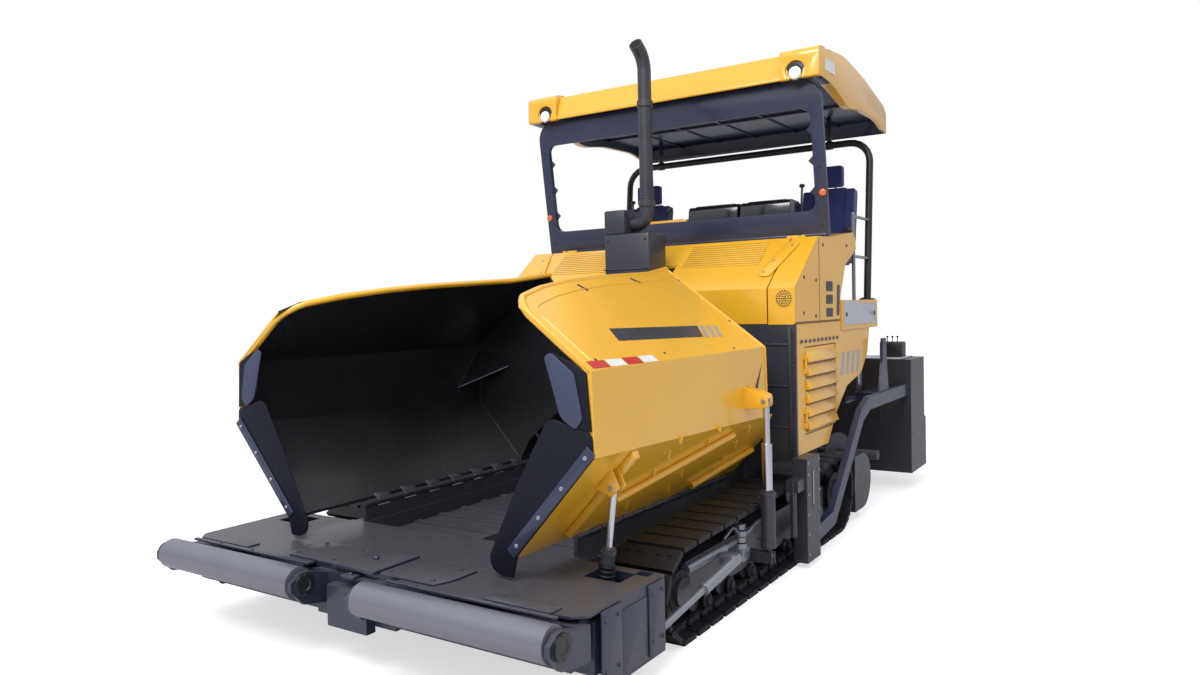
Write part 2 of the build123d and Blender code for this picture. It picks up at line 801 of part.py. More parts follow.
# ---- rear body, platform, console and seats --------------------------------------------
body_front = 705.0
body_wall = 25.0
with BuildPart() as rear_body:
    block((-1300, 1300), (platform_front, 1240), (1250, 1620))
    block((-1145, 1145), (body_front, 1240), (1250, platform_z - 20))
    block((-rail_outer, rail_outer), (body_front, chassis_rear), (engine_deck, 1250))
    block((-1145, 1145), (1240, 1480), (1450, platform_z - 20))
    # sheet box, open towards the engine
    block(
        (-1145 + body_wall, 1145 - body_wall),
        (body_front - 1, 1240 - body_wall),
        (1250 - body_wall, platform_z - 20 - body_wall),
        mode=Mode.SUBTRACT,
    )
    block(
        (-rail_outer + body_wall, rail_outer - body_wall),
        (body_front - 1, chassis_rear - body_wall),
        (engine_deck + body_wall, 1250 - body_wall + 1),
        mode=Mode.SUBTRACT,
    )
save(rear_body, "rear_body")

with BuildPart() as platform:
    block((-cover_inner + 5, cover_inner - 5), (platform_front, platform_rear), (platform_z - 20, platform_z))
save(platform, "platform_floor")

with BuildPart() as platform_box:
    block((1155, 1362), (platform_front + 5, 1240), (1850, platform_z))
    block((1305, 1362), (platform_front + 5, 1760), (1622, 1850))
    block((1155, 1362), (1245, 1760), (1622, platform_z))
    mirror(about=Plane.YZ)
save(platform_box, "platform_boxes")

def dash_z(y):
    """Height of the sloping dashboard at a place along the machine."""
    return 2600 - (y - 790) * 40 / 310


with BuildPart() as console:
    side_plate(
        (
            (frame_y + frame_depth, platform_z),
            (frame_y + frame_depth, 2400),
            (760, 2440),
            (790, 2600),
            (1120, 2560),
            (1120, 2480),
            (1000, 2380),
            (1000, platform_z),
        ),
        (-1040, 1040),
    )
    block((-1050, 1050), (760, 1140), (2450, 3000), mode=Mode.SUBTRACT)
    side_plate(((790, 2450), (790, 2600), (1100, 2560), (1100, 2450)), (-560, 960))
    block(
        (-1040 + body_wall, 1040 - body_wall),
        (frame_y + frame_depth + body_wall, 1000 - body_wall),
        (platform_z - 1, 2360),
        mode=Mode.SUBTRACT,
    )
save(console, "console")

with BuildPart() as console_covers:
    for low, high in ((-60, 420), (450, 900)):
        side_plate(
            ((800, dash_z(800)), (820, 2770), (1060, 2740), (1095, 2700), (1095, dash_z(1095))),
            (low, high),
        )
save(console_covers, "console_covers")

seat_x = 960.0
with BuildPart() as seat:
    block((seat_x - 130, seat_x + 130), (1330, 1560), (platform_z, 2190))
    block((seat_x - 250, seat_x + 250), (1200, 1640), (2190, 2330))
    back_xs = (seat_x - 245, seat_x + 245)
    side_plate(((1560, 2330), (1640, 2330), (1740, 2900), (1620, 2900), (1560, 2400)), back_xs)
    side_plate(((1640, 2900), (1720, 2900), (1720, 3110), (1640, 3110)), (seat_x - 130, seat_x + 130))
save_pair(seat, "seat")

# ---- windscreen frame, roof and rear hoop ----------------------------------------------
frame_top = roof_ceiling
with BuildPart() as canopy_frame:
    with BuildSketch(Plane.XZ.offset(-(frame_y + frame_depth))) as frame_face:
        with BuildLine():
            Polyline(
                (-frame_half, sill_z + 8),
                (frame_half, sill_z + 8),
                (roof_half - roof_rim - 8, frame_top),
                (-roof_half + roof_rim + 8, frame_top),
                close=True,
            )
        make_face()
        fillet(frame_face.vertices().group_by(Axis.Y)[-1], 110)
        with BuildLine():
            Polyline(
                (-frame_half + 150, 2545),
                (frame_half - 150, 2545),
                (frame_half - 165, 3400),
                (-frame_half + 165, 3400),
                close=True,
            )
        make_face(mode=Mode.SUBTRACT)
    extrude(amount=frame_depth)
save(canopy_frame, "canopy_frame")

with BuildPart() as canopy_roof:
    side_plate(
        (
            (roof_front, roof_front_low),
            (roof_front, roof_front_low + 185),
            (roof_front + 130, roof_front_low + 262),
            (1200, 3850),
            (2150, 3760),
            (roof_rear, 3640),
            (roof_rear, roof_rear_low),
        ),
        (-roof_half, roof_half),
    )
    fillet(canopy_roof.edges().filter_by(Axis.Y, reverse=True).group_by(Axis.X)[-1].group_by(Axis.Z)[-1], 20)
    side_plate(
        (
            (roof_front + 60, 3000),
            (roof_front + 60, roof_ceiling - 15),
            (roof_front + 100, roof_ceiling),
            (1900, roof_ceiling),
            (2140, 3680),
            (roof_rear - 60, 3610),
            (roof_rear - 60, 3000),
        ),
        (-roof_half + roof_rim, roof_half - roof_rim),
        mode=Mode.SUBTRACT,
    )
save(canopy_roof, "canopy_roof")

with BuildPart() as rear_hoop:
    tube_path(
        (
            (hoop_x, 1700, platform_z + 6),
            (hoop_x, 1850, 3335),
            (-hoop_x, 1850, 3335),
            (-hoop_x, 1700, platform_z + 6),
        ),
        [190, 190],
        hoop_radius,
    )
    for x in (-hoop_x, hoop_x):
        block((x - 55, x + 55), (1640, 1755), (platform_z, platform_z + 14))
    for x in (-500, 500):
        block((x - 20, x + 20), (1835, 1865), (3335, roof_ceiling))
    for z in (2250, 2600):
        for x in (-hoop_x, hoop_x):
            bar((x, 1300, z), (x, 1700 + (z - platform_z) * 0.102, z), 15)
    for x in (-hoop_x, hoop_x):
        bar((x, 1300, platform_z), (x, 1300, 2620), 15)
save(rear_hoop, "rear_hoop")

# ---- screed, towing arms and their guides ----------------------------------------------
arm_height = 990.0
arm_end = screed_front - arm_width / 2
arm_path = ((tow_y, tow_z), (150, 220), (900, 910), (1120, arm_height), (arm_end, arm_height))
tow_pin = 20.0
with BuildPart() as tow_arm:
    arm_xs = (arm_inner, arm_inner + arm_plate)
    strap(arm_path, arm_width, arm_xs)
    arm_zs = (arm_height - arm_width / 2, arm_height + arm_width / 2)
    block(arm_xs, (arm_end, screed_front), arm_zs)
    bar((arm_xs[0] - 1, tow_y, tow_z), (arm_xs[1] + 1, tow_y, tow_z), tow_pin + 0.4, mode=Mode.SUBTRACT)
    side_plate(
        ((1500, 990), (1820, 990), (1760, 1300), (1740, 1520), (1640, 1520), (1620, 1300)),
        (arm_inner, arm_inner + 24),
    )
    block((1180, arm_inner), (1640, 1700), (950, 1025))
save_pair(tow_arm, "tow_arm")

guide_outer = arm_inner + arm_plate + guide_room
guide_inner = arm_inner - 28
guide_plate = 20.0
guide_front = -500.0
guide_rear = -240.0
guide_bracket_z = (bulkhead_bottom - 10, bulkhead_bottom + 52)
with BuildPart() as tow_guide:
    block((guide_outer, guide_outer + guide_plate), (guide_front, guide_rear), (40, 770))
    bar((arm_inner - guide_room, tow_y, tow_z), (guide_outer, tow_y, tow_z), tow_pin)
    block((guide_inner, guide_outer), (guide_front, guide_front + 22), (40, 770))
    block((guide_inner, guide_outer), (guide_front, guide_rear), (746, 770))
    block((guide_inner, guide_outer), (guide_front, guide_rear), (40, 60))
    block((1220, guide_inner), (guide_front, bulkhead_front), guide_bracket_z)
    block((guide_inner, guide_inner + 20), (guide_front + 22, bulkhead_front), guide_bracket_z)
    bar((arm_inner + 20, -620, 250), (arm_inner + 20, -620, 640), 22)
    block((guide_inner, arm_inner + 60), (-640, guide_front), (560, 640))
    mirror(about=Plane.YZ)
save(tow_guide, "tow_guides")

screed_middle = (screed_front + screed_rear) / 2
with BuildPart() as screed:
    block((-half_width, half_width), (screed_front, screed_rear), (screed_bottom, screed_waist))
    block((-half_width, half_width), (screed_front, screed_rear - 60), (screed_waist, screed_top))
    # hollow between the end walls
    inside_x = (-half_width + end_wall, half_width - end_wall)
    low_back = screed_rear - screed_wall
    block(
        inside_x,
        (screed_front + screed_wall, low_back),
        (screed_bottom + screed_wall, screed_waist - screed_wall),
        mode=Mode.SUBTRACT,
    )
    block(
        inside_x,
        (screed_front + screed_wall, low_back - 60),
        (screed_waist - screed_wall - 1, screed_top - screed_wall),
        mode=Mode.SUBTRACT,
    )
    # bolt holes for an extension on each end face
    for x in (-half_width, half_width):
        inward = x - x / abs(x) * (end_wall + 1)
        for y in (screed_middle - end_hole_y / 2, screed_middle + end_hole_y / 2):
            for z in (end_hole_z - end_hole_rise / 2, end_hole_z + end_hole_rise / 2):
                bar((inward, y, z), (x * 1.01, y, z), end_hole_radius, mode=Mode.SUBTRACT)
save(screed, "screed_body")

with BuildPart() as walkway:
    block((-1400, 1400), (screed_rear, rear_end), (300, 360))
    for x in (-1380, -690, 0, 690, 1380):
        rib = ((screed_rear, 300), (screed_rear, 640), (rear_end, 360), (rear_end, 300))
        side_plate(rib, (x - 10, x + 10))
save(walkway, "screed_walkway")

# ---- augers ----------------------------------------------------------------------------
auger_inner = 66.0 + seat_gap
auger_outer = 1330.0
shaft_radius = 45.0
blade = 12.0
with BuildPart() as auger:
    bar((auger_inner, auger_y, auger_z), (auger_outer, auger_y, auger_z), shaft_radius)
    half_pitch = auger_pitch / 2
    tilt = atan2(half_pitch / 2, auger_radius)
    for index in range(int((auger_outer - auger_inner - 120) / half_pitch)):
        side = 1 if index % 2 else -1
        middle = (auger_inner + 130 + index * half_pitch, auger_y, auger_z)
        along_x, along_y = cos(tilt), side * sin(tilt)
        with BuildSketch(Plane(origin=middle, x_dir=(along_y, along_x, 0), z_dir=(along_x, -along_y, 0))):
            Circle(auger_radius)
            Circle(shaft_radius - 3, mode=Mode.SUBTRACT)
            with Locations((0, -side * auger_radius)):
                Rectangle(3 * auger_radius, 2 * auger_radius, mode=Mode.SUBTRACT)
        extrude(amount=blade / 2, both=True)
save_pair(auger, "auger")

with BuildPart() as auger_carrier:
    block((-40, 40), (chassis_rear - 100, auger_y + 60), (690, tunnel_top))
    block((-60, 60), (auger_y - 60, auger_y + 60), (330, 690))
    for x in (-60, 60):
        bar((min(x, x * 1.1), auger_y, auger_z), (max(x, x * 1.1), auger_y, auger_z), 70)
save(auger_carrier, "auger_carrier")

with BuildPart() as auger_guard:
    with BuildSketch(Plane.YZ.offset(1110)):
        with Locations((1190, 310)):
            Circle(235)
        with Locations((1080, 310)):
            Rectangle(220, 470)
    extrude(amount=270)
    block((rail_outer, 1110), (1100, 1180), (320, 420))
    mirror(about=Plane.YZ)
save(auger_guard, "auger_guards")

# ---- lift cylinders of the screed ------------------------------------------------------
lift_x = 1210.0
lift_y = 1670.0
lift_top = 1560.0
lift_eye = 1075.0
with BuildPart() as lift_barrel:
    bar((lift_x, lift_y, lift_top), (lift_x, lift_y, lift_top - 270), 42)
    bar((lift_x, lift_y, lift_top - 60), (lift_x, lift_y, lift_top - 275), 24.5, mode=Mode.SUBTRACT)
    bar((lift_x - 50 + seat_gap, lift_y, lift_top), (lift_x + 50 - seat_gap, lift_y, lift_top), 22)
    mirror(about=Plane.YZ)
save(lift_barrel, "lift_barrels")
with BuildPart() as lift_rod:
    bar((lift_x, lift_y, lift_top - 135), (lift_x, lift_y, lift_eye), 24)
    bar((lift_x - 16, lift_y, lift_eye), (lift_x + 16, lift_y, lift_eye), 34)
    mirror(about=Plane.YZ)
save(lift_rod, "lift_rods")
with BuildPart() as lift_bracket:
    for low in (lift_x - 66, lift_x + 50):
        side_plate(((1480, 1500), (1720, 1500), (1720, 1622), (1480, 1622)), (low, low + 16))
    mirror(about=Plane.YZ)
save(lift_bracket, "lift_brackets")
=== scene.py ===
import json
from math import atan2, cos, pi, radians, sin, tan

import bpy
from mathutils import Matrix, Vector

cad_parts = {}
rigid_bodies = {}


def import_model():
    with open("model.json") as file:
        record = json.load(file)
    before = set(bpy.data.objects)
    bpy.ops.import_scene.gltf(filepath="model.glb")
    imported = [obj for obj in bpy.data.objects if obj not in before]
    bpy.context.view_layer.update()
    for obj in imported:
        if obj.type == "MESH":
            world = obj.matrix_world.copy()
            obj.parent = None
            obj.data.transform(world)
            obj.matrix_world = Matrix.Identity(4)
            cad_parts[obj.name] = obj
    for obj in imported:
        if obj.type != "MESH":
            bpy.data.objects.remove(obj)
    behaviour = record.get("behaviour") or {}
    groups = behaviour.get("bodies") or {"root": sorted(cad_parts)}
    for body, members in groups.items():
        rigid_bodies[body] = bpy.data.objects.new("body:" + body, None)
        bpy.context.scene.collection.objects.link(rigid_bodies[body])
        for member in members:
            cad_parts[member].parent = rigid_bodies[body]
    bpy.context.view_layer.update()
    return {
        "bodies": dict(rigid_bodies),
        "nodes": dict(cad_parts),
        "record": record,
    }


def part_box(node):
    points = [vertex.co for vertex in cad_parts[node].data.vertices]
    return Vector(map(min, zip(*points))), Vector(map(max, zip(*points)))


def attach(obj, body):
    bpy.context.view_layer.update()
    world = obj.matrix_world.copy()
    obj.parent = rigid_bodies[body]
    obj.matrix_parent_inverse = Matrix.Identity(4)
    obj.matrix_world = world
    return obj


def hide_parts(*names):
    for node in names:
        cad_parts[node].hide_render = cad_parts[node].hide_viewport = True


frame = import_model()

# ---- Camera ----
# A camera with a wide lens stands at the left front corner, at a person's height. It looks across the
# hopper towards the roof, nearly level.
eye = Vector((3.5704, -6.2198, 1.8506))
turn = radians(33.353)
tilt = radians(-1.97)
lean = radians(-1.314)
lens = bpy.data.cameras.new("camera")
lens.lens = 25.82
lens.sensor_width = 36.0
camera = bpy.data.objects.new("camera", lens)
bpy.context.scene.collection.objects.link(camera)
camera.matrix_world = (
    Matrix.Translation(eye)
    @ Matrix.Rotation(turn, 4, "Z")
    @ Matrix.Rotation(pi / 2 + tilt, 4, "X")
    @ Matrix.Rotation(lean, 4, "Z")
)
bpy.context.scene.camera = camera

# ---- Floor and light ----
# A plain pale studio: the floor fades into a bright even sky, and one large soft lamp hangs in front, on
# the left. The machine throws only a faint shadow.
bpy.context.scene.view_settings.view_transform = "Standard"


def linear(hex_colour):
    """The linear colour of an sRGB hex value."""
    values = [int(hex_colour[i : i + 2], 16) / 255 for i in (1, 3, 5)]
    return tuple(v / 12.92 if v <= 0.04045 else ((v + 0.055) / 1.055) ** 2.4 for v in values) + (1.0,)


def add(tree, kind, links=None, **settings):
    """Adds a node; links gives its inputs, each as a value or as another node's output."""
    node = tree.nodes.new("ShaderNode" + kind)
    for key, value in settings.items():
        setattr(node, key, value)
    for socket, value in (links or {}).items():
        if isinstance(value, bpy.types.NodeSocket):
            tree.links.new(value, node.inputs[socket])
        else:
            node.inputs[socket].default_value = value
    return node


def emptied(holder):
    """The node tree of a material or world, with no nodes in it."""
    holder.use_nodes = True
    holder.node_tree.nodes.clear()
    return holder.node_tree


world = bpy.data.worlds.new("studio")
bpy.context.scene.world = world
sky = emptied(world)
seen = add(sky, "LightPath")
white = add(sky, "Background", {"Color": linear("#FFFFFF"), "Strength": 1.0})
upward = add(sky, "SeparateXYZ", {0: add(sky, "TexCoord").outputs["Generated"]})
height = add(sky, "MapRange", {0: upward.outputs["Z"], 1: -0.2, 2: 0.6, 3: 0.35, 4: 0.95})
soft_sky = add(sky, "Background", {"Color": linear("#F4F7FF"), "Strength": height.outputs[0]})
in_view = seen.outputs["Is Camera Ray"]
mixed = add(sky, "MixShader", {0: in_view, 1: soft_sky.outputs[0], 2: white.outputs[0]})
add(sky, "OutputWorld", {0: mixed.outputs[0]})

lamp = bpy.data.lights.new("soft_lamp", "AREA")
lamp.shape = "RECTANGLE"
lamp.size = 7.0
lamp.size_y = 5.0
lamp.energy = 900.0
lamp_object = bpy.data.objects.new("soft_lamp", lamp)
bpy.context.scene.collection.objects.link(lamp_object)
lamp_object.location = (1.5, -8.0, 9.0)
towards = Vector((0.0, -1.0, 1.0)) - lamp_object.location
lamp_object.rotation_euler = towards.to_track_quat("-Z", "Y").to_euler()

bpy.ops.object.select_all(action="DESELECT")
bpy.ops.mesh.primitive_plane_add(size=120.0, location=(0, 0, 0))
floor = bpy.context.object
floor.name = "floor"
floor_paint = bpy.data.materials.new("pale floor")
tree = emptied(floor_paint)
matt = add(tree, "BsdfPrincipled", {"Base Color": linear("#CFCFCF"), "Roughness": 0.9})
glow = add(tree, "Emission", {"Color": linear("#FFFFFF"), "Strength": 0.62})
both = add(tree, "AddShader", {0: matt.outputs[0], 1: glow.outputs[0]})
path = add(tree, "LightPath")
shown = add(tree, "MixShader", {0: path.outputs["Is Camera Ray"], 1: matt.outputs[0], 2: both.outputs[0]})
add(tree, "OutputMaterial", {0: shown.outputs[0]})
floor.data.materials.append(floor_paint)


# ---- Finishes shared by the painted and steel pieces ----
# Most of the machine is steel under yellow, charcoal or navy enamel. It is unpainted where feet scour it,
# the hopper's inside is near-black, and there are chromed rods, cast track steel, black rubber and black
# plastic.
def coated(
    name,
    colour,
    edge_wear_and_sheen,
    roughness=0.38,
    gloss=0.25,
    shift=0.06,
    edge=0.35,
    grain=0.0009,
    metallic=0.0,
    shine=0.5,
    tops_walked_and_lit=None,
):
    """Paint over steel: a slight change of tone, a fine skin, and edges, inner corners too, in a second
    colour in patches: paint scuffed thin, and on the dark paints a painted highlight along their rims.

    grain is the depth in metres of the skin's 3 mm ripple, drawn coarser than real so that it shows. The
    last argument is the colour its level tops take in patches: where feet have walked the paint off, and
    painted light on the tops.
    """
    material = bpy.data.materials.new(name)
    tree = emptied(material)
    place = add(tree, "TexCoord").outputs["Object"]
    cloud = add(tree, "TexNoise", {"Vector": place, "Scale": 1.7, "Detail": 5.0})
    fine = add(tree, "TexNoise", {"Vector": place, "Scale": 22.0, "Detail": 6.0, "Roughness": 0.7})
    skin = add(tree, "TexNoise", {"Vector": place, "Scale": 330.0, "Detail": 2.0})
    rounded = add(tree, "Bevel", {"Radius": 0.005}, samples=4)
    flat = add(tree, "NewGeometry").outputs["Normal"]
    apart = add(tree, "VectorMath", {0: rounded.outputs[0], 1: flat}, operation="DOT_PRODUCT")
    at_edge = add(tree, "MapRange", {0: apart.outputs["Value"], 1: 0.97, 2: 0.8, 3: 0.0, 4: 1.0})
    patchy = add(tree, "MapRange", {0: fine.outputs["Fac"], 1: 0.42, 2: 0.62, 3: 0.0, 4: edge})
    # edges take the second colour in patches: paint scuffed thin, and on the dark paints a painted highlight
    edge_wear_and_sheen_mask = add(tree, "Math", {0: at_edge.outputs[0], 1: patchy.outputs[0]}, operation="MULTIPLY")
    tone = add(tree, "MapRange", {0: cloud.outputs["Fac"], 1: 0.3, 2: 0.7, 3: 1.0 - shift, 4: 1.0 + shift})
    body = add(tree, "HueSaturation", {"Color": linear(colour), "Value": tone.outputs[0]})
    colours = add(
        tree,
        "MixRGB",
        {0: edge_wear_and_sheen_mask.outputs[0], 1: body.outputs[0], 2: linear(edge_wear_and_sheen)},
    )
    # level tops take a lighter colour in patches: paint walked off, and painted light falling on them
    if tops_walked_and_lit:
        up = add(tree, "SeparateXYZ", {0: flat}).outputs["Z"]
        level = add(tree, "MapRange", {0: up, 1: 0.8, 2: 0.95, 3: 0.0, 4: 1.0})
        top_patches = add(tree, "MapRange", {0: fine.outputs["Fac"], 1: 0.25, 2: 0.5, 3: 0.55, 4: 1.0})
        tops_walked_and_lit_mask = add(tree, "Math", {0: level.outputs[0], 1: top_patches.outputs[0]}, operation="MULTIPLY")
        colours = add(
            tree,
            "MixRGB",
            {0: tops_walked_and_lit_mask.outputs[0], 1: colours.outputs[0], 2: linear(tops_walked_and_lit)},
        )
    rough = add(
        tree,
        "MapRange",
        {0: fine.outputs["Fac"], 1: 0.3, 2: 0.7, 3: roughness - 0.05, 4: roughness + 0.07},
    )
    bump = add(
        tree,
        "Bump",
        {"Height": skin.outputs["Fac"], "Distance": grain, "Strength": 0.35, "Normal": rounded.outputs[0]},
    )
    shader = add(
        tree,
        "BsdfPrincipled",
        {
            "Base Color": colours.outputs[0],
            "Roughness": rough.outputs[0],
            "Normal": bump.outputs[0],
            "Metallic": metallic,
            "Coat Weight": gloss,
            "Coat Roughness": 0.12,
            "Coat IOR": 1.8,
            "Specular IOR Level": shine,
        },
    )
    add(tree, "OutputMaterial", {0: shader.outputs[0]})
    return material


yellow_enamel = coated(
    "yellow two-pack enamel", "#EBAF26", "#C98F1C", roughness=0.34, gloss=0.55, shift=0.04, edge=0.2
)
# the dark paints' edge colours are lighter and blue-grey: a painted highlight along their rims, with scuffs
charcoal_enamel = coated("charcoal enamel", "#2F3038", "#5C5E68", roughness=0.45, gloss=0.2)
navy_enamel = coated("navy enamel", "#242A44", "#4A5270", roughness=0.42, gloss=0.25)
# the push beam's level tops are lighter in patches: walked-off paint and painted light on the tops
beam_paint = coated(
    "navy enamel, tops walked and painted lit",
    "#2C2F42", "#5A6280", roughness=0.45, gloss=0.2, shift=0.1, tops_walked_and_lit="#46454A",
)
worn_plate = coated(
    "walked-on steel plate", "#55555C", "#8C8C90", roughness=0.5, gloss=0.0, shift=0.15, metallic=0.4
)
roller_steel = coated("grey painted tube", "#6C6C76", "#A5A5AE", roughness=0.4, gloss=0.2, metallic=0.2)
cast_steel = coated("cast track steel", "#222227", "#55565C", roughness=0.55, gloss=0.0, metallic=0.4)
hard_chrome = coated(
    "hard chrome", "#C9CAD2", "#E4E4EA", roughness=0.16, gloss=0.0, shift=0.02, edge=0.0, metallic=1.0
)
zinc_bolt = coated("zinc-plated bolt", "#9FA2AA", "#C8CAD0", roughness=0.35, gloss=0.0, metallic=0.8)
black_rubber = coated(
    "black rubber", "#0B0D1C", "#16171F", roughness=0.55, gloss=0.0, grain=0.0015, shine=0.25
)
black_plastic = coated("black moulded plastic", "#1B1C20", "#3C3D42", roughness=0.42, gloss=0.1)
gloss_plastic = coated("glossy black cover", "#141519", "#2A2B30", roughness=0.2, gloss=0.6, edge=0.0)
near_black_lining = coated(
    "near-black hopper lining", "#1F2023", "#3A3A3E", roughness=0.3, gloss=0.1, shift=0.2
)

finish_of_slot = {
    "yellow_paint": yellow_enamel,
    "dark_paint": charcoal_enamel,
    "worn_steel": worn_plate,
    "bright_steel": hard_chrome,
    "track_steel": cast_steel,
    "rubber": black_rubber,
    "seat_cover": black_plastic,
    "black_cover": gloss_plastic,
    "exhaust_steel": charcoal_enamel,
}
finish_of_node = {
    "canopy_frame": navy_enamel,
    "push_beam": beam_paint,
    "tow_arm_left": navy_enamel,
    "tow_arm_right": navy_enamel,
    "hopper_back": near_black_lining,
    "push_roller_left": roller_steel,
    "push_roller_right": roller_steel,
    "rear_hoop": black_plastic,
}
for part in frame["record"]["subparts"]:
    node = frame["nodes"][part["node"]]
    node.data.materials.clear()
    node.data.materials.append(finish_of_node.get(part["node"], finish_of_slot[part["material_slot"]]))

# ---- Push beam ----
# A welded box across the front, in dark paint, under deck plates whose level tops are lighter in patches:
# paint walked off, and painted light on the tops. It carries the push rollers, and truck wheels lean on
# them.
def only(*pieces):
    """Leaves edit mode and selects these pieces alone, with the last of them active."""
    if bpy.context.mode != "OBJECT":
        bpy.ops.object.mode_set(mode="OBJECT")
    bpy.ops.object.select_all(action="DESELECT")
    for piece in pieces:
        piece.select_set(True)
    bpy.context.view_layer.objects.active = pieces[-1]


def modified(piece, kind, **settings):
    """The piece with one modifier applied."""
    only(piece)
    bpy.ops.object.modifier_add(type=kind)
    modifier = piece.modifiers[-1]
    for key, value in settings.items():
        setattr(modifier, key, value)
    bpy.ops.object.modifier_apply(modifier=modifier.name)
    return piece


def soften(piece, width):
    """Rounds the sharp edges of a piece."""
    return modified(piece, "BEVEL", width=width, segments=2, limit_method="ANGLE", angle_limit=radians(28))


def pick(piece, kind, test):
    """Selects what passes the test and stays in edit mode. Faces are tested by their middle and normal."""
    only(piece)
    bpy.ops.object.mode_set(mode="EDIT")
    bpy.ops.mesh.select_mode(type=kind)
    bpy.ops.mesh.select_all(action="DESELECT")
    bpy.ops.object.mode_set(mode="OBJECT")
    if kind == "FACE":
        for face in piece.data.polygons:
            face.select = test(face.center, face.normal)
    else:
        for point in piece.data.vertices:
            point.select = test(point.co)
    bpy.ops.object.mode_set(mode="EDIT")


def block(low, high, soft=0.004):
    """A box between two corners, with soft edges."""
    low, high = Vector(low), Vector(high)
    bpy.ops.object.select_all(action="DESELECT")
    bpy.ops.mesh.primitive_cube_add(size=1, location=(low + high) / 2, scale=high - low)
    bpy.ops.object.transform_apply()
    return soften(bpy.context.object, soft) if soft else bpy.context.object


def closed(piece):
    """The piece out of edit mode, with its faces' normals turned outwards."""
    bpy.ops.mesh.select_all(action="SELECT")
    bpy.ops.mesh.normals_make_consistent(inside=False)
    bpy.ops.object.mode_set(mode="OBJECT")
    return piece


def walked(points):
    """One vertex walked through the points, which leaves a chain of edges; it stays in edit mode."""
    bpy.ops.object.select_all(action="DESELECT")
    bpy.ops.mesh.primitive_plane_add(size=0.01, location=points[0])
    piece = bpy.context.object
    bpy.ops.object.transform_apply()
    bpy.ops.object.mode_set(mode="EDIT")
    bpy.ops.mesh.select_mode(type="VERT")
    bpy.ops.mesh.select_all(action="SELECT")
    bpy.ops.mesh.merge(type="CENTER")
    for start, end in zip(points, points[1:]):
        bpy.ops.mesh.extrude_region_move(TRANSFORM_OT_translate={"value": Vector(end) - Vector(start)})
    return piece


def faced(points):
    """A flat face through the points; it stays in edit mode, with all of it selected."""
    piece = walked(points)
    bpy.ops.mesh.select_all(action="SELECT")
    bpy.ops.mesh.edge_face_add()
    return piece


def thickened(piece, by):
    """The selected face drawn out into a closed body."""
    bpy.ops.mesh.extrude_region_move(TRANSFORM_OT_translate={"value": by})
    return closed(piece)


def oblong(left, low, right, high, *rounding):
    """The corners of a rectangle, each with the radius that rounds it, if there is one."""
    return [
        (across, up, *rounding) for across, up in ((left, low), (right, low), (right, high), (left, high))
    ]


def plate(outline, along, low, high, soft=0.003):
    """A plate across one axis, from its corners in the other two; a third value rounds that corner."""
    spots = {"x": (1, 2, 0), "y": (0, 2, 1), "z": (0, 1, 2)}[along]

    def place(corner):
        spot = Vector((0.0, 0.0, 0.0))
        spot[spots[0]], spot[spots[1]], spot[spots[2]] = corner[0], corner[1], low
        return spot

    piece = faced([place(corner) for corner in outline])
    for corner in outline:
        if len(corner) == 3:
            spot = place(corner)
            pick(piece, "VERT", lambda point: (point - spot).length < 1e-4)
            bpy.ops.mesh.bevel(offset=corner[2], segments=6, affect="VERTICES")
    bpy.ops.mesh.select_all(action="SELECT")
    travel = Vector((0.0, 0.0, 0.0))
    travel[spots[2]] = high - low
    thickened(piece, travel)
    return soften(piece, soft) if soft else piece


def turned(profile, centre, axis, steps=40):
    """A turned piece, from the radius and the height along its axis of each point of its profile."""
    axis = Vector(axis).normalized()
    side = axis.orthogonal().normalized()
    piece = walked([Vector(centre) + side * radius + axis * height for radius, height in profile])
    bpy.ops.mesh.select_all(action="SELECT")
    bpy.ops.mesh.spin(steps=steps, angle=2 * pi, center=centre, axis=axis)
    bpy.ops.mesh.select_all(action="SELECT")
    bpy.ops.mesh.remove_doubles(threshold=0.0002)
    return closed(piece)


def rod(start, end, radius, soft=0.002):
    """A round bar between two points, with soft rims."""
    along = Vector(end) - Vector(start)
    edge = min(soft, radius / 3)
    profile = ((0, 0), (radius - edge, 0), (radius, edge), (radius, along.length - edge))
    return turned(profile + ((radius - edge, along.length), (0, along.length)), start, along, 24)


def mirrored(piece):
    """The piece's mirror image on the machine's other side."""
    only(piece)
    bpy.ops.object.duplicate()
    twin = bpy.context.object
    twin.scale.x = -1
    bpy.ops.object.transform_apply()
    bpy.ops.object.mode_set(mode="EDIT")
    bpy.ops.mesh.select_all(action="SELECT")
    bpy.ops.mesh.remove_doubles(threshold=0.00001)
    return closed(twin)


def painted(material, *pieces):
    """The pieces joined into one, in one finish."""
    for piece in pieces:
        piece.data.materials.clear()
        piece.data.materials.append(material)
    return joined(*pieces)


def joined(*pieces):
    """The pieces joined into one."""
    only(*pieces)
    if len(pieces) > 1:
        bpy.ops.object.join()
    return bpy.context.object


def fit(piece, name, body, slot, *stands_for):
    """Names a finished piece, smooths it, and sets what it rides on and which CAD nodes it stands for."""
    only(piece)
    bpy.ops.object.shade_smooth_by_angle(angle=radians(30))
    piece.name = name
    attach(piece, body)
    if stands_for:
        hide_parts(*stands_for)
    return piece


def fit_pair(piece, name, body, slot, *stands_for):
    """The left piece and its mirror image, each on its own side's body; a body without sides takes both."""
    for side, half in (("right", mirrored(piece)), ("left", piece)):
        own = f"{body}_{side}" if f"{body}_{side}" in frame["bodies"] else body
        fit(half, f"{name}_{side}", own, slot, *(f"{node}_{side}" for node in stands_for))


def bolt(centre, axis, radius=0.011, height=0.009):
    """A hexagonal bolt head."""
    profile = ((0, 0), (radius, 0), (radius, height * 0.8), (radius * 0.85, height), (0, height))
    return turned(profile, centre, axis, 6)


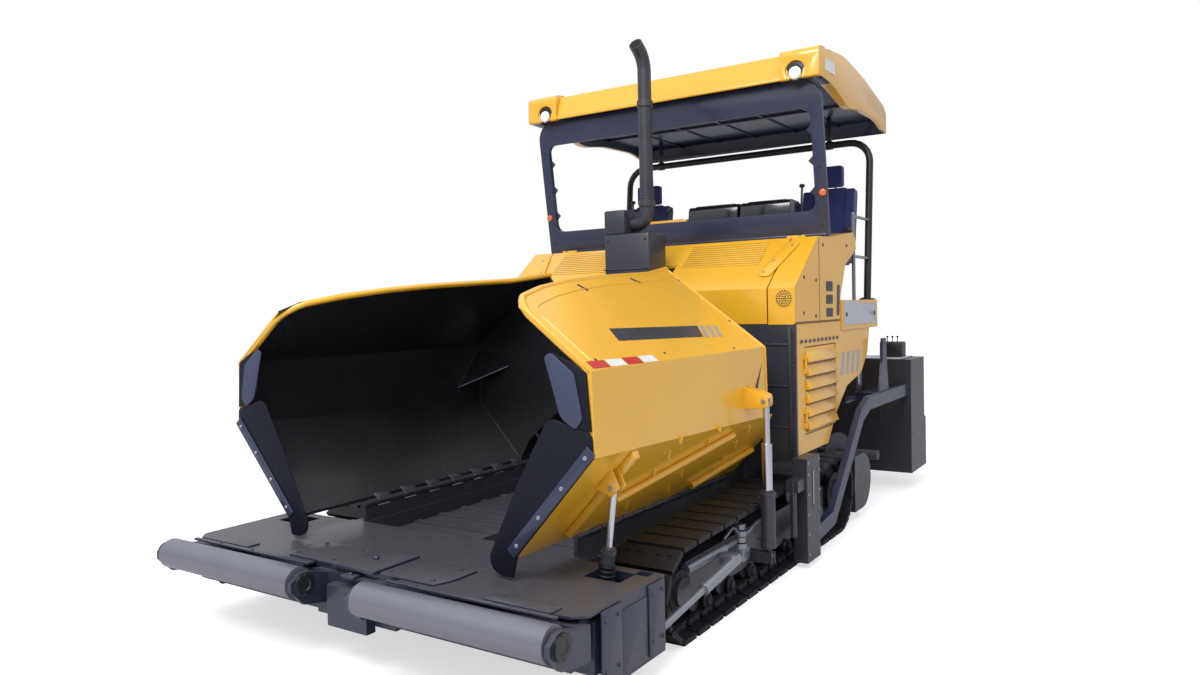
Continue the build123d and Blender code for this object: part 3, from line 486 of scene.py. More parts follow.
to_left, to_front, to_top = (1, 0, 0), (0, -1, 0), (0, 0, 1)
roller_low, roller_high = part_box("push_roller_left")
roller_y = (roller_low.y + roller_high.y) / 2
roller_z = (roller_low.z + roller_high.z) / 2
deck_z = 0.4997
caps = []
for x, outward in ((roller_high.x, 1), (roller_low.x, -1)):
    cap_profile = [(0.0, 0.0), (0.062, 0.0), (0.062, 0.006)]
    for rib in range(3):
        start = 0.008 + rib * 0.004
        cap_profile += [(0.055, start), (0.055, start + 0.002), (0.061, start + 0.003)]
    cap_profile += [(0.05, 0.021), (0.034, 0.022), (0.03, 0.017), (0.0, 0.017)]
    caps.append(turned(cap_profile, (x - outward * 0.0008, roller_y, roller_z), (outward, 0, 0)))
    for up in (-1, 1):
        caps.append(bolt((x, roller_y, roller_z + up * 0.052), (outward, 0, 0), 0.006, 0.024))
fit_pair(painted(black_plastic, *caps), "bearing_caps", "tractor", "black_cover")

deck_parts = [
    plate(oblong(0.3, -3.262, 1.36, -3.236, 0.006), "z", deck_z, deck_z + 0.012, 0.002),
    plate(
        (
            (0.175, -3.19, 0.02), (0.56, -3.19, 0.02), (0.6, -3.08, 0.02), (0.6, -2.905, 0.01),
            (0.175, -2.905, 0.01),
        ),
        "z", deck_z, deck_z + 0.012, 0.003,
    ),
    plate(oblong(0.9, -3.215, 1.3, -3.12, 0.02), "z", deck_z, deck_z + 0.01, 0.003),
]
for x in (0.5, 0.8, 1.1):
    deck_parts.append(bolt((x, -3.249, deck_z + 0.012), to_top, 0.009, 0.006))
for x in (0.22, 0.52):
    for y in (-3.15, -2.95):
        deck_parts.append(bolt((x, y, deck_z + 0.012), to_top, 0.012, 0.008))
# the beam's end: stepped side plates, and braces under the deck's front edge
end_x = 1.45
deck_parts += [
    plate(
        ((-3.05, 0.15, 0.03), (-2.88, 0.128, 0.02), (-2.88, 0.485), (-3.05, 0.485)),
        "x", end_x, end_x + 0.012, 0.004,
    ),
    plate(
        ((-2.87, 0.128, 0.02), (-2.64, 0.128, 0.02), (-2.64, 0.44), (-2.87, 0.44)),
        "x", end_x, end_x + 0.006, 0.004,
    ),
    plate(
        ((-2.63, 0.128, 0.02), (-2.475, 0.128, 0.02), (-2.475, 0.485), (-2.63, 0.485)),
        "x", end_x, end_x + 0.012, 0.004,
    ),
]
for y in (-3.02, -2.91, -2.6, -2.5):
    for z in (0.2, 0.44):
        deck_parts.append(bolt((end_x + 0.012, y, z), to_left, 0.011, 0.007))
for x in (0.45, 0.9, 1.28):
    deck_parts.append(
        plate(((-3.198, 0.465), (-3.198, 0.33), (-3.262, 0.465)), "x", x - 0.006, x + 0.006, 0.002)
    )
for x0, x1 in ((0.2, 0.62), (0.66, 1.02), (1.06, 1.34)):
    deck_parts.append(plate(oblong(x0, 0.262, x1, 0.36, 0.012), "y", -3.206, -3.199, 0.002))
fit_pair(painted(beam_paint, *deck_parts), "deck_plates", "tractor", "dark_paint")
tab = plate(
    ((-0.05, -3.255, 0.012), (0.05, -3.255, 0.012), (0.05, -3.19), (-0.05, -3.19)),
    "z", 0.4702, 0.484, 0.002,
)
middle = plate(
    ((-0.165, -3.215, 0.02), (0.165, -3.215, 0.02), (0.165, -2.88, 0.01), (-0.165, -2.88, 0.01)),
    "z", deck_z, deck_z + 0.022, 0.004,
)
studs = [
    bolt((0, -3.225, 0.484), to_top, 0.014, 0.01), bolt((0, -3.05, deck_z + 0.022), to_top, 0.02, 0.014)
]
fit(painted(beam_paint, tab, middle, *studs), "deck_tab", "tractor", "dark_paint")


# ---- Tracks ----
# Steel chains with bolted shoes, cast and nearly black. The chain's side bars stand proud of the shoes'
# inner faces and carry pins.
track_low, track_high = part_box("track_left")
idler = (-2.06, 0.27)
sprocket = (0.59, 0.31)
chain_x = (track_low.x + track_high.x) / 2 + 0.105


def loop_places(inset, pitch):
    """Place and turn along the loop round idler and sprocket, a distance inside the shoes' faces."""
    lean = 2 * atan2(sprocket[1] - idler[1], sprocket[0] - idler[0])
    run = sprocket[0] - idler[0]
    arcs = ((sprocket, pi + lean), (idler, pi - lean))
    lengths = (run, arcs[0][1] * (sprocket[1] - inset), run, arcs[1][1] * (idler[1] - inset))
    count = round(sum(lengths) / pitch)
    for index in range(count):
        far = index * sum(lengths) / count
        leg = 0
        while far > lengths[leg]:
            far -= lengths[leg]
            leg += 1
        if leg == 0:
            yield Vector((0, idler[0] + far, inset)), 0.0
        elif leg == 2:
            turn = arcs[0][1]
            reach = sprocket[1] - inset
            start = Vector((0, sprocket[0] + reach * sin(turn), sprocket[1] - reach * cos(turn)))
            yield start + Vector((0, cos(turn), sin(turn))) * far, turn
        else:
            centre, over = arcs[0][0] if leg == 1 else arcs[1][0], lengths[leg] / arcs[leg // 2][1]
            turn = far / over + (0.0 if leg == 1 else arcs[0][1])
            yield Vector((0, centre[0] + over * sin(turn), centre[1] - over * cos(turn))), turn


link = plate(
    ((-0.062, -0.02, 0.02), (0.062, -0.02, 0.02), (0.062, 0.022, 0.018), (-0.062, 0.022, 0.018)),
    "x", 0.0, 0.014, 0.003,
)
pins = [rod((0.0, end, 0.0), (0.02, end, 0.0), 0.013) for end in (-0.038, 0.038)]
link = painted(cast_steel, link, *pins)
links = []
for spot, turn in loop_places(0.052, 0.172):
    only(link)
    bpy.ops.object.duplicate()
    one = bpy.context.object
    one.rotation_euler = (turn, 0, 0)
    one.location = spot + Vector((chain_x, 0, 0))
    bpy.ops.object.transform_apply()
    links.append(one)
bpy.data.objects.remove(link)
fit_pair(joined(*links), "chain_links", "tractor", "track_steel")

shoe_bolts = []
for spot, turn in loop_places(0.0, 0.172):
    outward = Vector((0, sin(turn), -cos(turn)))
    along = Vector((0, cos(turn), sin(turn)))
    for across in (-0.13, -0.06, 0.06, 0.13):
        middle = spot + Vector(((track_low.x + track_high.x) / 2 + across, 0, 0)) - outward * 0.0005
        if spot.z > 0.2:
            shoe_bolts.append(bolt(middle - along * 0.03 - outward * 0.01, outward, 0.012, 0.012))
fit_pair(painted(cast_steel, *shoe_bolts), "shoe_bolts", "tractor", "track_steel")

# ---- Hopper wings ----
# Each wing is one bent plate: floor, wall and leaning top panel. Outside it is yellow, with a rolled
# rim; inside it is nearly black.
hinge = (0.85, 0.59)
corner = (1.36, 1.153)
top = (1.35, 1.56)
lean_angle = radians(37)
wing_front, wing_rear, wing_tail = -2.925, -0.7, -0.335
rear_toe = 0.06
slope = atan2(corner[1] - hinge[1], corner[0] - hinge[0])
batter = (corner[0] - top[0]) / (top[1] - corner[1])
free_edge = (
    (0.93, -2.925), (0.858, -2.82), (0.785, -2.56), (0.726, -2.25), (0.677, -1.9), (0.636, -1.5),
    (0.597, -1.1), (0.52, -0.7),
)


def section(depth, toe=0.0):
    """The wing's line in x and z, from the hinge to the free edge, a depth inside its outer face."""
    inside = depth / cos(slope)
    start = (hinge[0] + 0.026 * cos(slope), hinge[1] + 0.026 * sin(slope) + inside)
    corner_x = corner[0] - toe - depth
    fold = (corner_x, hinge[1] + (corner_x - hinge[0]) * tan(slope) + inside)
    lip_z = top[1] - depth * tan(pi / 4 - lean_angle / 2)
    lip = (fold[0] - batter * (lip_z - fold[1]), lip_z)
    return [start, fold, lip, (0.44, lip[1] + (lip[0] - 0.44) * tan(lean_angle))]


def drawn_in(y):
    """How far the wall and the top panel have drawn in at a place along the wing."""
    return rear_toe * (y - wing_front) / (wing_rear - wing_front)


def on_top(x, y, out=0.0):
    """A point on the top panel's outer face, or out from it."""
    fold = section(0.0, drawn_in(y))[2]
    z = fold[1] + (fold[0] - x) * tan(lean_angle)
    return Vector((x + out * sin(lean_angle), y, z + out * cos(lean_angle)))


def on_floor(along, out, y):
    """A point on the sloping floor's outer face, measured from the hinge, or out from it."""
    return Vector(
        (
            hinge[0] + along * cos(slope) + out * sin(slope),
            y,
            hinge[1] + along * sin(slope) - out * cos(slope),
        )
    )


def floor_plate(spots, y0, y1, soft):
    """A plate across the machine, whose corners are measured along the sloping floor and out from it."""
    corners = [on_floor(along, out, 0) for along, out in spots]
    return plate([(corner.x, corner.z) for corner in corners], "y", y0, y1, soft)


def cut(piece, *tools):
    """The piece with the tools' volumes taken out of it."""
    for tool in tools:
        modified(piece, "BOOLEAN", object=tool, operation="DIFFERENCE")
        bpy.data.objects.remove(tool)
    return piece


def second_finish(piece, material, test):
    """Gives the faces that pass the test the material, in a slot of their own."""
    piece.data.materials.append(material)
    pick(piece, "FACE", test)
    piece.active_material_index = len(piece.data.materials) - 1
    bpy.ops.object.material_slot_assign()
    bpy.ops.object.mode_set(mode="OBJECT")


# the plate is drawn straight, and its rear end is then drawn in
shell = plate(section(0) + section(0.012)[::-1], "y", wing_front, wing_rear, 0.0)
straight = section(0) + section(0.012)[::-1]
toed = section(0, rear_toe) + section(0.012, rear_toe)[::-1]
for before, after in zip(straight, toed):
    spot = Vector((before[0], wing_rear, before[1]))
    pick(shell, "VERT", lambda point: (point - spot).length < 1e-4)
    bpy.ops.transform.translate(value=(after[0] - before[0], 0.0, after[1] - before[1]))
bpy.ops.object.mode_set(mode="OBJECT")
beyond = ((0.52, -0.69), (0.3, -0.69), (0.3, -3.0), (0.93, -3.0))
cut(shell, plate(free_edge[:-1] + beyond, "z", 1.561, 2.4, 0.0))
tail_floor = plate(
    section(0, rear_toe)[:2] + section(0.012, rear_toe)[1::-1], "y", wing_rear, wing_tail, 0.0
)
cut(
    tail_floor,
    plate(((1.5, -0.76), (1.375, -0.75), (1.11, wing_tail), (1.11, 0.0), (1.5, 0.0)), "z", 0.2, 2.3, 0.0),
)
for piece in (shell, tail_floor):
    piece.data.materials.append(yellow_enamel)
    # faces turned in towards the hopper are near-black
    second_finish(piece, near_black_lining, lambda middle, normal: normal.x < -0.3)
inner = section(0.006, rear_toe)
end_z = inner[2][1] + (inner[2][0] - 0.53) * tan(lean_angle)
end_line = (
    inner[0], inner[1], inner[2], (0.53, end_z), (0.45, end_z - 0.12, 0.03), (0.45, 1.05, 0.03), (0.76, 0.8)
)
end_wall = plate(end_line, "y", wing_rear - 0.01, wing_rear, 0.0)
# a triangular plate closes the corner between wall and end wall; a bright rod along its lower edge is a
# painted highlight
pocket = ((1.283, -0.711, 1.54), (1.325, -0.979, 1.211), (0.97, -0.711, 1.388))
gusset = thickened(faced(pocket), (-0.008, -0.008, 0.0))
highlight_inset = Vector((0.006, 0.006, 0.0))
edge_highlight_rod = rod(Vector(pocket[1]) - highlight_inset, Vector(pocket[2]) - highlight_inset, 0.004)
dark_plates = painted(near_black_lining, end_wall, gusset)
knuckles = []
for index in range(8):
    low = -2.38 + index * 0.24 + 0.115
    knuckles.append(rod((hinge[0], low, hinge[1]), (hinge[0], low + 0.12, hinge[1]), 0.022))
    knuckles.append(floor_plate(oblong(0, 0, 0.06, -0.015), low, low + 0.12, 0.001))
knuckles = painted(charcoal_enamel, *knuckles)
# the bright rod is a painted highlight along the plate's edge
edge_highlight_rod = painted(zinc_bolt, edge_highlight_rod)
fit_pair(
    joined(dark_plates, tail_floor, knuckles, edge_highlight_rod, shell), "wing_shell", "wing", "yellow_paint", "wing"
)


def pipe(points, radius, bend=0.0, resolution=4):
    """A round pipe through the points, with its inner corners rounded."""
    piece = walked(points)
    if bend:
        ends = (Vector(points[0]), Vector(points[-1]))
        pick(piece, "VERT", lambda point: min((point - end).length for end in ends) > 1e-4)
        bpy.ops.mesh.bevel(offset=bend, segments=6, affect="VERTICES")
    bpy.ops.object.mode_set(mode="OBJECT")
    bpy.ops.object.convert(target="CURVE")
    piece = bpy.context.object
    piece.data.bevel_depth = radius
    piece.data.bevel_resolution = resolution
    piece.data.use_fill_caps = True
    bpy.ops.object.convert(target="MESH")
    return bpy.context.object


# rolled rim along the front edge and the free edge, and the line pressed beside it
rim = [(1.338, wing_front + 0.02, 1.2), (1.331, wing_front + 0.02, 1.552)]
rim += [on_top(0.96, wing_front + 0.02, -0.012)] + [on_top(x + 0.012, y, -0.012) for x, y in free_edge[1:]]
pressed = [on_top(1.29, wing_front + 0.085, 0.0), on_top(0.99, wing_front + 0.085, 0.0)]
pressed += [on_top(x + 0.08, y + 0.03, 0.0) for x, y in free_edge[1:-1]] + [on_top(0.6, -0.72, 0.0)]
rim_pieces = [pipe(rim, 0.02, 0.05), pipe(pressed, 0.0045, 0.04)]
rim_pieces.append(pipe([(1.35, wing_front + 0.085, 1.19), (1.345, wing_front + 0.085, 1.54)], 0.0045))
fit_pair(painted(yellow_enamel, *rim_pieces), "wing_rim", "wing", "yellow_paint")

# slots and screws in the top panel, a blank dark band, grey waves, and a red and white strip
slot_shade_and_screws = []
# the slots are dark rods: painted shade in their openings; the screws are dark paint
for start, end in (((0.765, -2.182), (0.812, -2.141)), ((0.68, -1.46), (0.715, -1.393))):
    slot_shade_and_screws.append(pipe([on_top(*start, 0.0), on_top(*end, 0.0)], 0.007))
for x, y in ((1.29, -2.8), (1.28, -2.1), (1.28, -1.2), (1.05, -0.76), (0.66, -0.76)):
    slot_shade_and_screws.append(bolt(on_top(x, y, 0.0), (sin(lean_angle), 0, cos(lean_angle)), 0.009, 0.004))
fit_pair(painted(charcoal_enamel, *slot_shade_and_screws), "panel_slots", "wing", "dark_paint")


def decal(corners, colour):
    """A thin printed film on the top panel, from the x and y of its corners."""
    film = faced([on_top(x, y, 0.0006) for x, y in corners])
    return painted(colour, thickened(film, on_top(1, -2, 0.0009) - on_top(1, -2, 0)))


film_black, film_grey, film_red, film_white = (
    coated(name, colour, colour, roughness=0.3, gloss=0.4, edge=0.0, grain=0.0)
    for name, colour in (
        ("dark printed film", "#33343A"),
        ("grey printed film", "#9A9CA4"),
        ("red reflective film", "#C2261C"),
        ("white reflective film", "#E6E4DE"),
    )
)
films = [decal(((1.097, -2.376), (1.089, -1.33), (1.179, -1.425), (1.182, -2.412)), film_black)]
for step in range(3):
    y = -1.3 + step * 0.095
    films.append(decal(((1.092, y), (1.09, y + 0.055), (1.183, y - 0.045), (1.183, y - 0.1)), film_grey))
for step, film in enumerate((film_red, film_white, film_red, film_white)):
    y = -2.89 + step * 0.162
    x = 1.296 - step * 0.003
    films.append(decal(((x, y), (x, y + 0.15), (x + 0.042, y + 0.15), (x + 0.043, y)), film))
fit_pair(joined(*films), "panel_films", "wing", "dark_paint")

# rear flange, ribs and small triangles under the floor
rear_line = section(0.0, rear_toe)
wall_x, lip_x = rear_line[1][0], rear_line[2][0]
flange = plate(
    (
        (wall_x - 0.004, 1.1), (wall_x + 0.01, 1.1), (lip_x + 0.01, 1.562, 0.02),
        (0.56, on_top(0.56, wing_rear, 0.01).z), (0.56, on_top(0.56, wing_rear, -0.004).z),
        (lip_x - 0.004, 1.558),
    ),
    "y", wing_rear - 0.03, wing_rear - 0.018, 0.003,
)
outside = [flange]
for along in (0.16, 0.3, 0.44, 0.58, 0.7):
    for y in (-2.05, -1.55, -0.95):
        if along < 0.7 or y < -1.0:
            outside.append(
                floor_plate(((along, 0.0), (along, 0.028), (along + 0.05, 0.0)), y, y + 0.012, 0.0)
            )
rib = ((0.09, 0.0), (0.735, 0.0), (0.715, 0.04), (0.11, 0.04))
outside.append(floor_plate(rib, -2.573, -2.513, 0.006))
for y0, y1, a0, a1 in ((-2.3, -1.2, 0.3, 0.6), (-1.15, -0.45, 0.1, 0.3)):
    start, end = on_floor(a0, 0.018, y0), on_floor(a1, 0.018, y1)
    outside.append(pipe([start, end], 0.022))
fit_pair(painted(yellow_enamel, *outside), "wing_ribs", "wing", "yellow_paint")

eyes = []
for y0, y1 in ((-2.647, -2.633), (-2.587, -2.573)):
    eyes.append(floor_plate(((0.47, 0.0), (0.62, 0.0), (0.58, 0.096), (0.515, 0.096)), y0, y1, 0.003))
for y0, y1 in ((-1.112, -1.098), (-1.042, -1.028)):
    eyes.append(
        plate(((1.3, 1.175), (1.467, 1.195, 0.02), (1.467, 1.275, 0.02), (1.3, 1.325)), "y", y0, y1, 0.003)
    )
fit_pair(painted(yellow_enamel, *eyes), "cylinder_eyes", "wing", "yellow_paint")
front_eye = on_floor(0.542, 0.062, -2.61)
pins = [rod(front_eye - Vector((0, 0.046, 0)), front_eye + Vector((0, 0.046, 0)), 0.012)]
pins.append(rod((1.437, -1.12, 1.235), (1.437, -1.02, 1.235), 0.015))
fit_pair(painted(zinc_bolt, *pins), "eye_pins", "wing", "bright_steel")

# ---- Blade plates and aprons ----
# Blue-grey plates stiffen both front lips. A rubber apron hangs under each, to keep the mix in, and a
# bolted steel strip clamps it.
lilac_steel = coated("blue-grey painted lip plate", "#343A54", "#8890A8", roughness=0.55, gloss=0.1)
blade = plate(
    (
        (1.088, 1.627, 0.02), (1.13, 1.644, 0.015), (1.262, 1.546, 0.02), (1.305, 1.335, 0.02),
        (1.264, 1.281, 0.02), (1.179, 1.333, 0.03),
    ),
    "y", -2.944, -2.937, 0.002,
)
fit_pair(painted(lilac_steel, blade), "blade_plate", "wing", "dark_paint")
apron_line = (
    (0.86, 0.52), (0.89, 0.634), (1.355, 1.15), (1.35, 1.268, 0.03), (1.268, 1.284, 0.03),
    (1.1, 1.335, 0.05), (0.911, 1.012), (0.706, 0.604, 0.03), (0.73, 0.545, 0.02), (0.79, 0.518, 0.02),
)
apron = plate(apron_line, "y", -2.937, -2.926, 0.002)
upper = plate(
    ((1.266, 1.288), (1.348, 1.276), (1.326, 1.55), (1.251, 1.598), (1.125, 1.645), (1.155, 1.385)),
    "y", -2.937, -2.926, 0.002,
)
fit_pair(painted(black_rubber, apron, upper), "apron_rubber", "wing", "rubber", "wing_apron")
strip = painted(navy_enamel, floor_plate(oblong(0.04, -0.002, 0.78, -0.062), -2.945, -2.938, 0.002))
fixings = [bolt(on_floor(a, -0.032, -2.945), to_front, 0.012, 0.006) for a in (0.1, 0.31, 0.52, 0.73)]
fit_pair(joined(strip, painted(zinc_bolt, *fixings)), "apron_strip", "wing", "dark_paint")


# ---- Hood and side covers ----
# Yellow sheet covers over the engine: a sloping hood with a field of cooling slits on each side, straps
# over the joint with the side covers, and a round speaker grille in each cover's nose.
nose_y, nose_z = -0.31, 1.965
brow_y, brow_z = 0.2, 2.36
hood_slope = atan2(brow_z - nose_z, brow_y - nose_y)


def laid(piece, origin, turn):
    """The piece, modelled flat at the origin, turned about X and laid at its place."""
    only(piece)
    piece.rotation_euler = (turn, 0, 0)
    piece.location = origin
    bpy.ops.object.transform_apply()
    return piece


def on_hood(piece):
    """The piece laid on the hood's slope; its y is measured up the slope from the nose."""
    return laid(piece, (0.0, nose_y, nose_z), hood_slope)


def up_hood(y):
    """The way up the slope to a place along the machine."""
    return (y - nose_y) / cos(hood_slope)


slit_low, slit_high = up_hood(-0.07), up_hood(0.16)
# a charcoal plate under the slats: painted shade in the slits
slit_shade_plate = plate(oblong(0.32, slit_low, 0.98, slit_high), "z", 0.0005, 0.002, 0.0)
painted_slit_shade = painted(charcoal_enamel, on_hood(slit_shade_plate))
slats = []
slat_count = 10
for index in range(slat_count):
    low = slit_low + index * (slit_high - slit_low) / slat_count
    slat = plate(oblong(0.32, low, 0.98, low + 0.0225), "z", 0.0, 0.005, 0.002)
    slats.append(on_hood(slat))
slats = painted(yellow_enamel, *slats)
fit_pair(joined(painted_slit_shade, slats), "hood_slits", "hood", "yellow_paint")

strap_line = (
    (1.02, up_hood(-0.15), 0.02), (1.045, up_hood(-0.2), 0.02), (1.12, up_hood(-0.2), 0.02),
    (1.24, up_hood(0.13), 0.02), (1.2, up_hood(0.16), 0.02), (1.13, up_hood(0.14), 0.02),
)
strap = on_hood(plate(strap_line, "z", 0.006, 0.012, 0.003))
strap_bolts = [
    on_hood(bolt((x, up_hood(y), 0.012), to_top, 0.009, 0.006)) for x, y in (
        (1.06, -0.16), (1.1, -0.05), (1.19, 0.1)
    )
]
fit_pair(
    joined(painted(yellow_enamel, strap), painted(zinc_bolt, *strap_bolts)),
    "cover_strap", "tractor", "yellow_paint",
)

grille_x, grille_z = 1.272, 1.888
grille_profile = [(0.0, 0.0), (0.068, 0.0), (0.067, 0.0012), (0.0, 0.0012)]
grille = turned(grille_profile, (grille_x, nose_y, grille_z), to_front, 36)
# dark discs on the grille: painted shade in its holes
grille_hole_shade = []
for ring, count in ((0.0, 1), (0.018, 6), (0.036, 12), (0.054, 18)):
    for index in range(count):
        turn = 2 * pi * index / count
        spot = (grille_x + ring * cos(turn), nose_y - 0.001, grille_z + ring * sin(turn))
        grille_hole_shade.append(turned([(0.0, 0.0), (0.0066, 0.0), (0.0066, 0.0012), (0.0, 0.0012)], spot, to_front, 8))
grille = joined(painted(yellow_enamel, grille), painted(charcoal_enamel, *grille_hole_shade))
fit_pair(grille, "nose_grille", "tractor", "yellow_paint")

cover_x = 1.354
cover_details = []
for low, high in ((1.94, 2.02), (1.84, 1.915), (1.74, 1.81)):
    cover_details.append(
        plate(oblong(0.37, low, 0.53, high, 0.012), "x", cover_x - 0.001, cover_x + 0.0012, 0.0)
    )
    for y in (0.405, 0.45, 0.495):
        cover_details.append(
            plate(
                oblong(y - 0.017, low + 0.01, y + 0.017, high - 0.01), "x", cover_x, cover_x + 0.0025, 0.0
            )
        )
cover_details.append(
    plate(
        ((0.62, 1.745, 0.02), (0.69, 1.745, 0.02), (0.71, 1.995, 0.02), (0.64, 1.995, 0.02)),
        "x", cover_x - 0.001, cover_x + 0.0012, 0.0,
    )
)
for y, z in ((-0.116, 2.042), (0.143, 2.024), (-0.127, 1.779), (0.131, 1.752), (0.31, 2.3), (0.9, 2.32)):
    cover_details.append(
        turned([(0.0, 0.0), (0.014, 0.0), (0.012, 0.004), (0.0, 0.005)], (cover_x, y, z), to_left, 16)
    )
fit_pair(painted(charcoal_enamel, *cover_details), "cover_details", "tractor", "dark_paint")
cover_seams = [
    pipe([(cover_x, 0.215, 1.715), (cover_x, 0.215, 2.345)], 0.0025),
    pipe([(cover_x, -0.3, 1.712), (cover_x, 0.7, 1.712)], 0.004),
]
fit_pair(painted(charcoal_enamel, *cover_seams), "cover_seams", "tractor", "dark_paint")

# ---- Side panels and doors ----
# Each yellow door carries six deep pressed louvres, two hinges and a round latch. Above it is a row of
# slots, and behind it are slanting grey waves.
leaf = [plate(oblong(-0.128, 0.887, 0.578, 1.523, 0.02), "x", 1.33, 1.35, 0.003)]
louvre_count = 6
louvre_low, louvre_high = 0.905, 1.505
pitch = (louvre_high - louvre_low) / louvre_count
louvre_levels = [louvre_low + index * pitch for index in range(louvre_count)]
for z in louvre_levels:
    profile = (
        (1.352, z + 0.004), (1.386, z + 0.01, 0.006), (1.378, z + 0.034, 0.01), (1.352, z + pitch - 0.008)
    )
    leaf.append(plate(profile, "y", -0.105, 0.555, 0.003))
# charcoal strips between the louvres: painted shade under each lip
louvre_gap_shade = [plate(oblong(1.351, z - 0.006, 1.356, z + 0.008), "y", -0.1, 0.55, 0.0) for z in louvre_levels]
for low, high in ((0.976, 1.034), (1.376, 1.434)):
    leaf.append(rod((1.366, -0.137, low), (1.366, -0.137, high), 0.009))
    leaf.append(block((1.35, -0.133, low), (1.364, -0.1, high), 0.002))
latch = turned(
    [(0.0, 0.0), (0.026, 0.0), (0.026, 0.005), (0.012, 0.009), (0.0, 0.009)],
    (1.35, 0.567, 1.2),
    to_left, 24,
)
door = joined(painted(yellow_enamel, *leaf), painted(charcoal_enamel, *louvre_gap_shade, latch))
fit_pair(door, "louvre_door", "side_door", "yellow_paint", "side_door")

slot_places = [-0.19 + index * 0.09 for index in range(10)]
rims = [
    plate(oblong(y - 0.034, 1.549, y + 0.034, 1.591, 0.019), "x", 1.3545, 1.356, 0.0) for y in slot_places
]
fit_pair(painted(yellow_enamel, *rims), "slot_rims", "tractor", "yellow_paint")
# charcoal plates inside the slot rims: painted shade in the slots
slot_shade_plates = [
    plate(oblong(y - 0.029, 1.557, y + 0.029, 1.583, 0.012), "x", 1.356, 1.3566, 0.0) for y in slot_places
]
fit_pair(painted(charcoal_enamel, *slot_shade_plates), "painted_slot_shade", "tractor", "dark_paint")
waves = []
for index in range(4):
    y = 0.7 + index * 0.14
    waves.append(
        plate(((y, 1.255), (y + 0.07, 1.255), (y + 0.12, 1.44), (y + 0.05, 1.44)), "x", 1.3545, 1.3552, 0.0)
    )
fit_pair(painted(film_grey, *waves), "panel_waves", "tractor", "dark_paint")

# ---- Muffler and exhaust ----
# A stepped charcoal muffler box stands in the hood's notch. From it rises a tall pipe with a slit
# sleeve, bent forward at its tip; inside it is sooty, and a flat black disc across its opening is painted
# shade down the pipe.
body = block((-0.18, -0.43, 1.88), (0.23, -0.15, 2.43), 0.018)
lid = block((-0.18, -0.428, 2.428), (0.01, -0.152, 2.62), 0.015)
lugs = [bolt((x, -0.43, z), to_front, 0.011, 0.008) for x in (-0.15, 0.2) for z in (1.93, 2.16, 2.38)]
band_line = [(x, y, 2.15) for x, y in oblong(-0.182, -0.432, 0.232, -0.148)]
band = pipe(band_line + band_line[:1], 0.006)
fit(painted(charcoal_enamel, body, lid, *lugs, band), "muffler_box", "tractor", "dark_paint", "muffler")
stack_x, stack_y, stack_radius = 0.14, -0.29, 0.054
stack_top, stack_tip = (stack_x, stack_y, 3.8), (stack_x, -0.415, 3.885)
stack_line = [(0.01, stack_y, 2.51), (stack_x, stack_y, 2.51), stack_top, stack_tip]
stack = pipe(stack_line, stack_radius, 0.09, 8)
mouth_axis = (Vector(stack_tip) - Vector(stack_top)).normalized()
mouth_line = [(0.046, -0.06), (0.046, 0.0005), (stack_radius, 0.001), (stack_radius, -0.003)]
mouth = turned(mouth_line, stack_tip, mouth_axis, 32)
# a flat black disc just inside the tip: sooty black, and painted shade down the pipe
pipe_shade_disc = turned(
    [(0.0, 0.0006), (0.045, 0.0006), (0.045, 0.0012), (0.0, 0.0012)], stack_tip, mouth_axis, 32
)
collar = [(stack_radius, 0.0), (0.064, 0.002), (0.064, 0.05), (stack_radius, 0.052)]
sleeves = [turned(collar, (stack_x, stack_y, z), to_top, 32) for z in (2.64, 3.42)]
slit_edge = [(0.053, 0.0), (0.0562, 0.001), (0.0562, 0.004), (0.053, 0.005)]
for z, count in ((2.7, 14), (3.18, 9)):
    for index in range(count):
        sleeves.append(turned(slit_edge, (stack_x, stack_y, z + index * 0.012), to_top, 24))
soot_and_shade = coated("soot-black disc with painted pipe shade", "#0A0A0B", "#0A0A0B", roughness=0.8, gloss=0.0, edge=0.0)
stack = joined(painted(charcoal_enamel, stack, mouth, *sleeves), painted(soot_and_shade, pipe_shade_disc))
fit(stack, "exhaust_stack", "tractor", "exhaust_steel", "exhaust_pipe")

# ---- Bulkhead and conveyors ----
# A charcoal bulkhead closes the hopper's rear, stiffened by ribs and bolted to the covers. The sloping
# plate in front of it has one fold in its middle, and the conveyors pass under it.
wall_parts = []
for x in (0.95, 1.3):
    wall_parts.append(block((x, -0.322, 0.75), (x + 0.022, -0.3105, 1.68), 0.002))
for z in (0.95, 1.25, 1.55):
    wall_parts.append(block((0.972, -0.318, z), (1.298, -0.3105, z + 0.012), 0.002))
for z in (0.8, 1.1, 1.4, 1.64):
    wall_parts.append(bolt((1.335, -0.3105, z), to_front, 0.01, 0.007))
fit_pair(painted(charcoal_enamel, *wall_parts), "bulkhead_ribs", "tractor", "dark_paint")
fold_line = pipe([(0.0, -0.508, 0.68), (0.0, -0.333, 1.48)], 0.004)
fit(painted(charcoal_enamel, fold_line), "back_plate_fold", "tractor", "dark_paint")

# ---- Canopy frame ----
# A navy windscreen frame with rounded corners leans forward over the dashboard. Small fixing tabs stand
# in its window, and a round orange lamp sits on each post. A deep beam ties it to the roof.
frame_foot = (0.501, 2.377)
frame_lean = radians(8)
frame_half, window_half = 1.357, 1.262
frame_length = 1.235


def on_frame(piece):
    """The piece, modelled flat at the origin in x and y, stood up in the frame's leaning plane."""
    return laid(piece, (0.0, frame_foot[0], frame_foot[1]), pi / 2 + frame_lean)


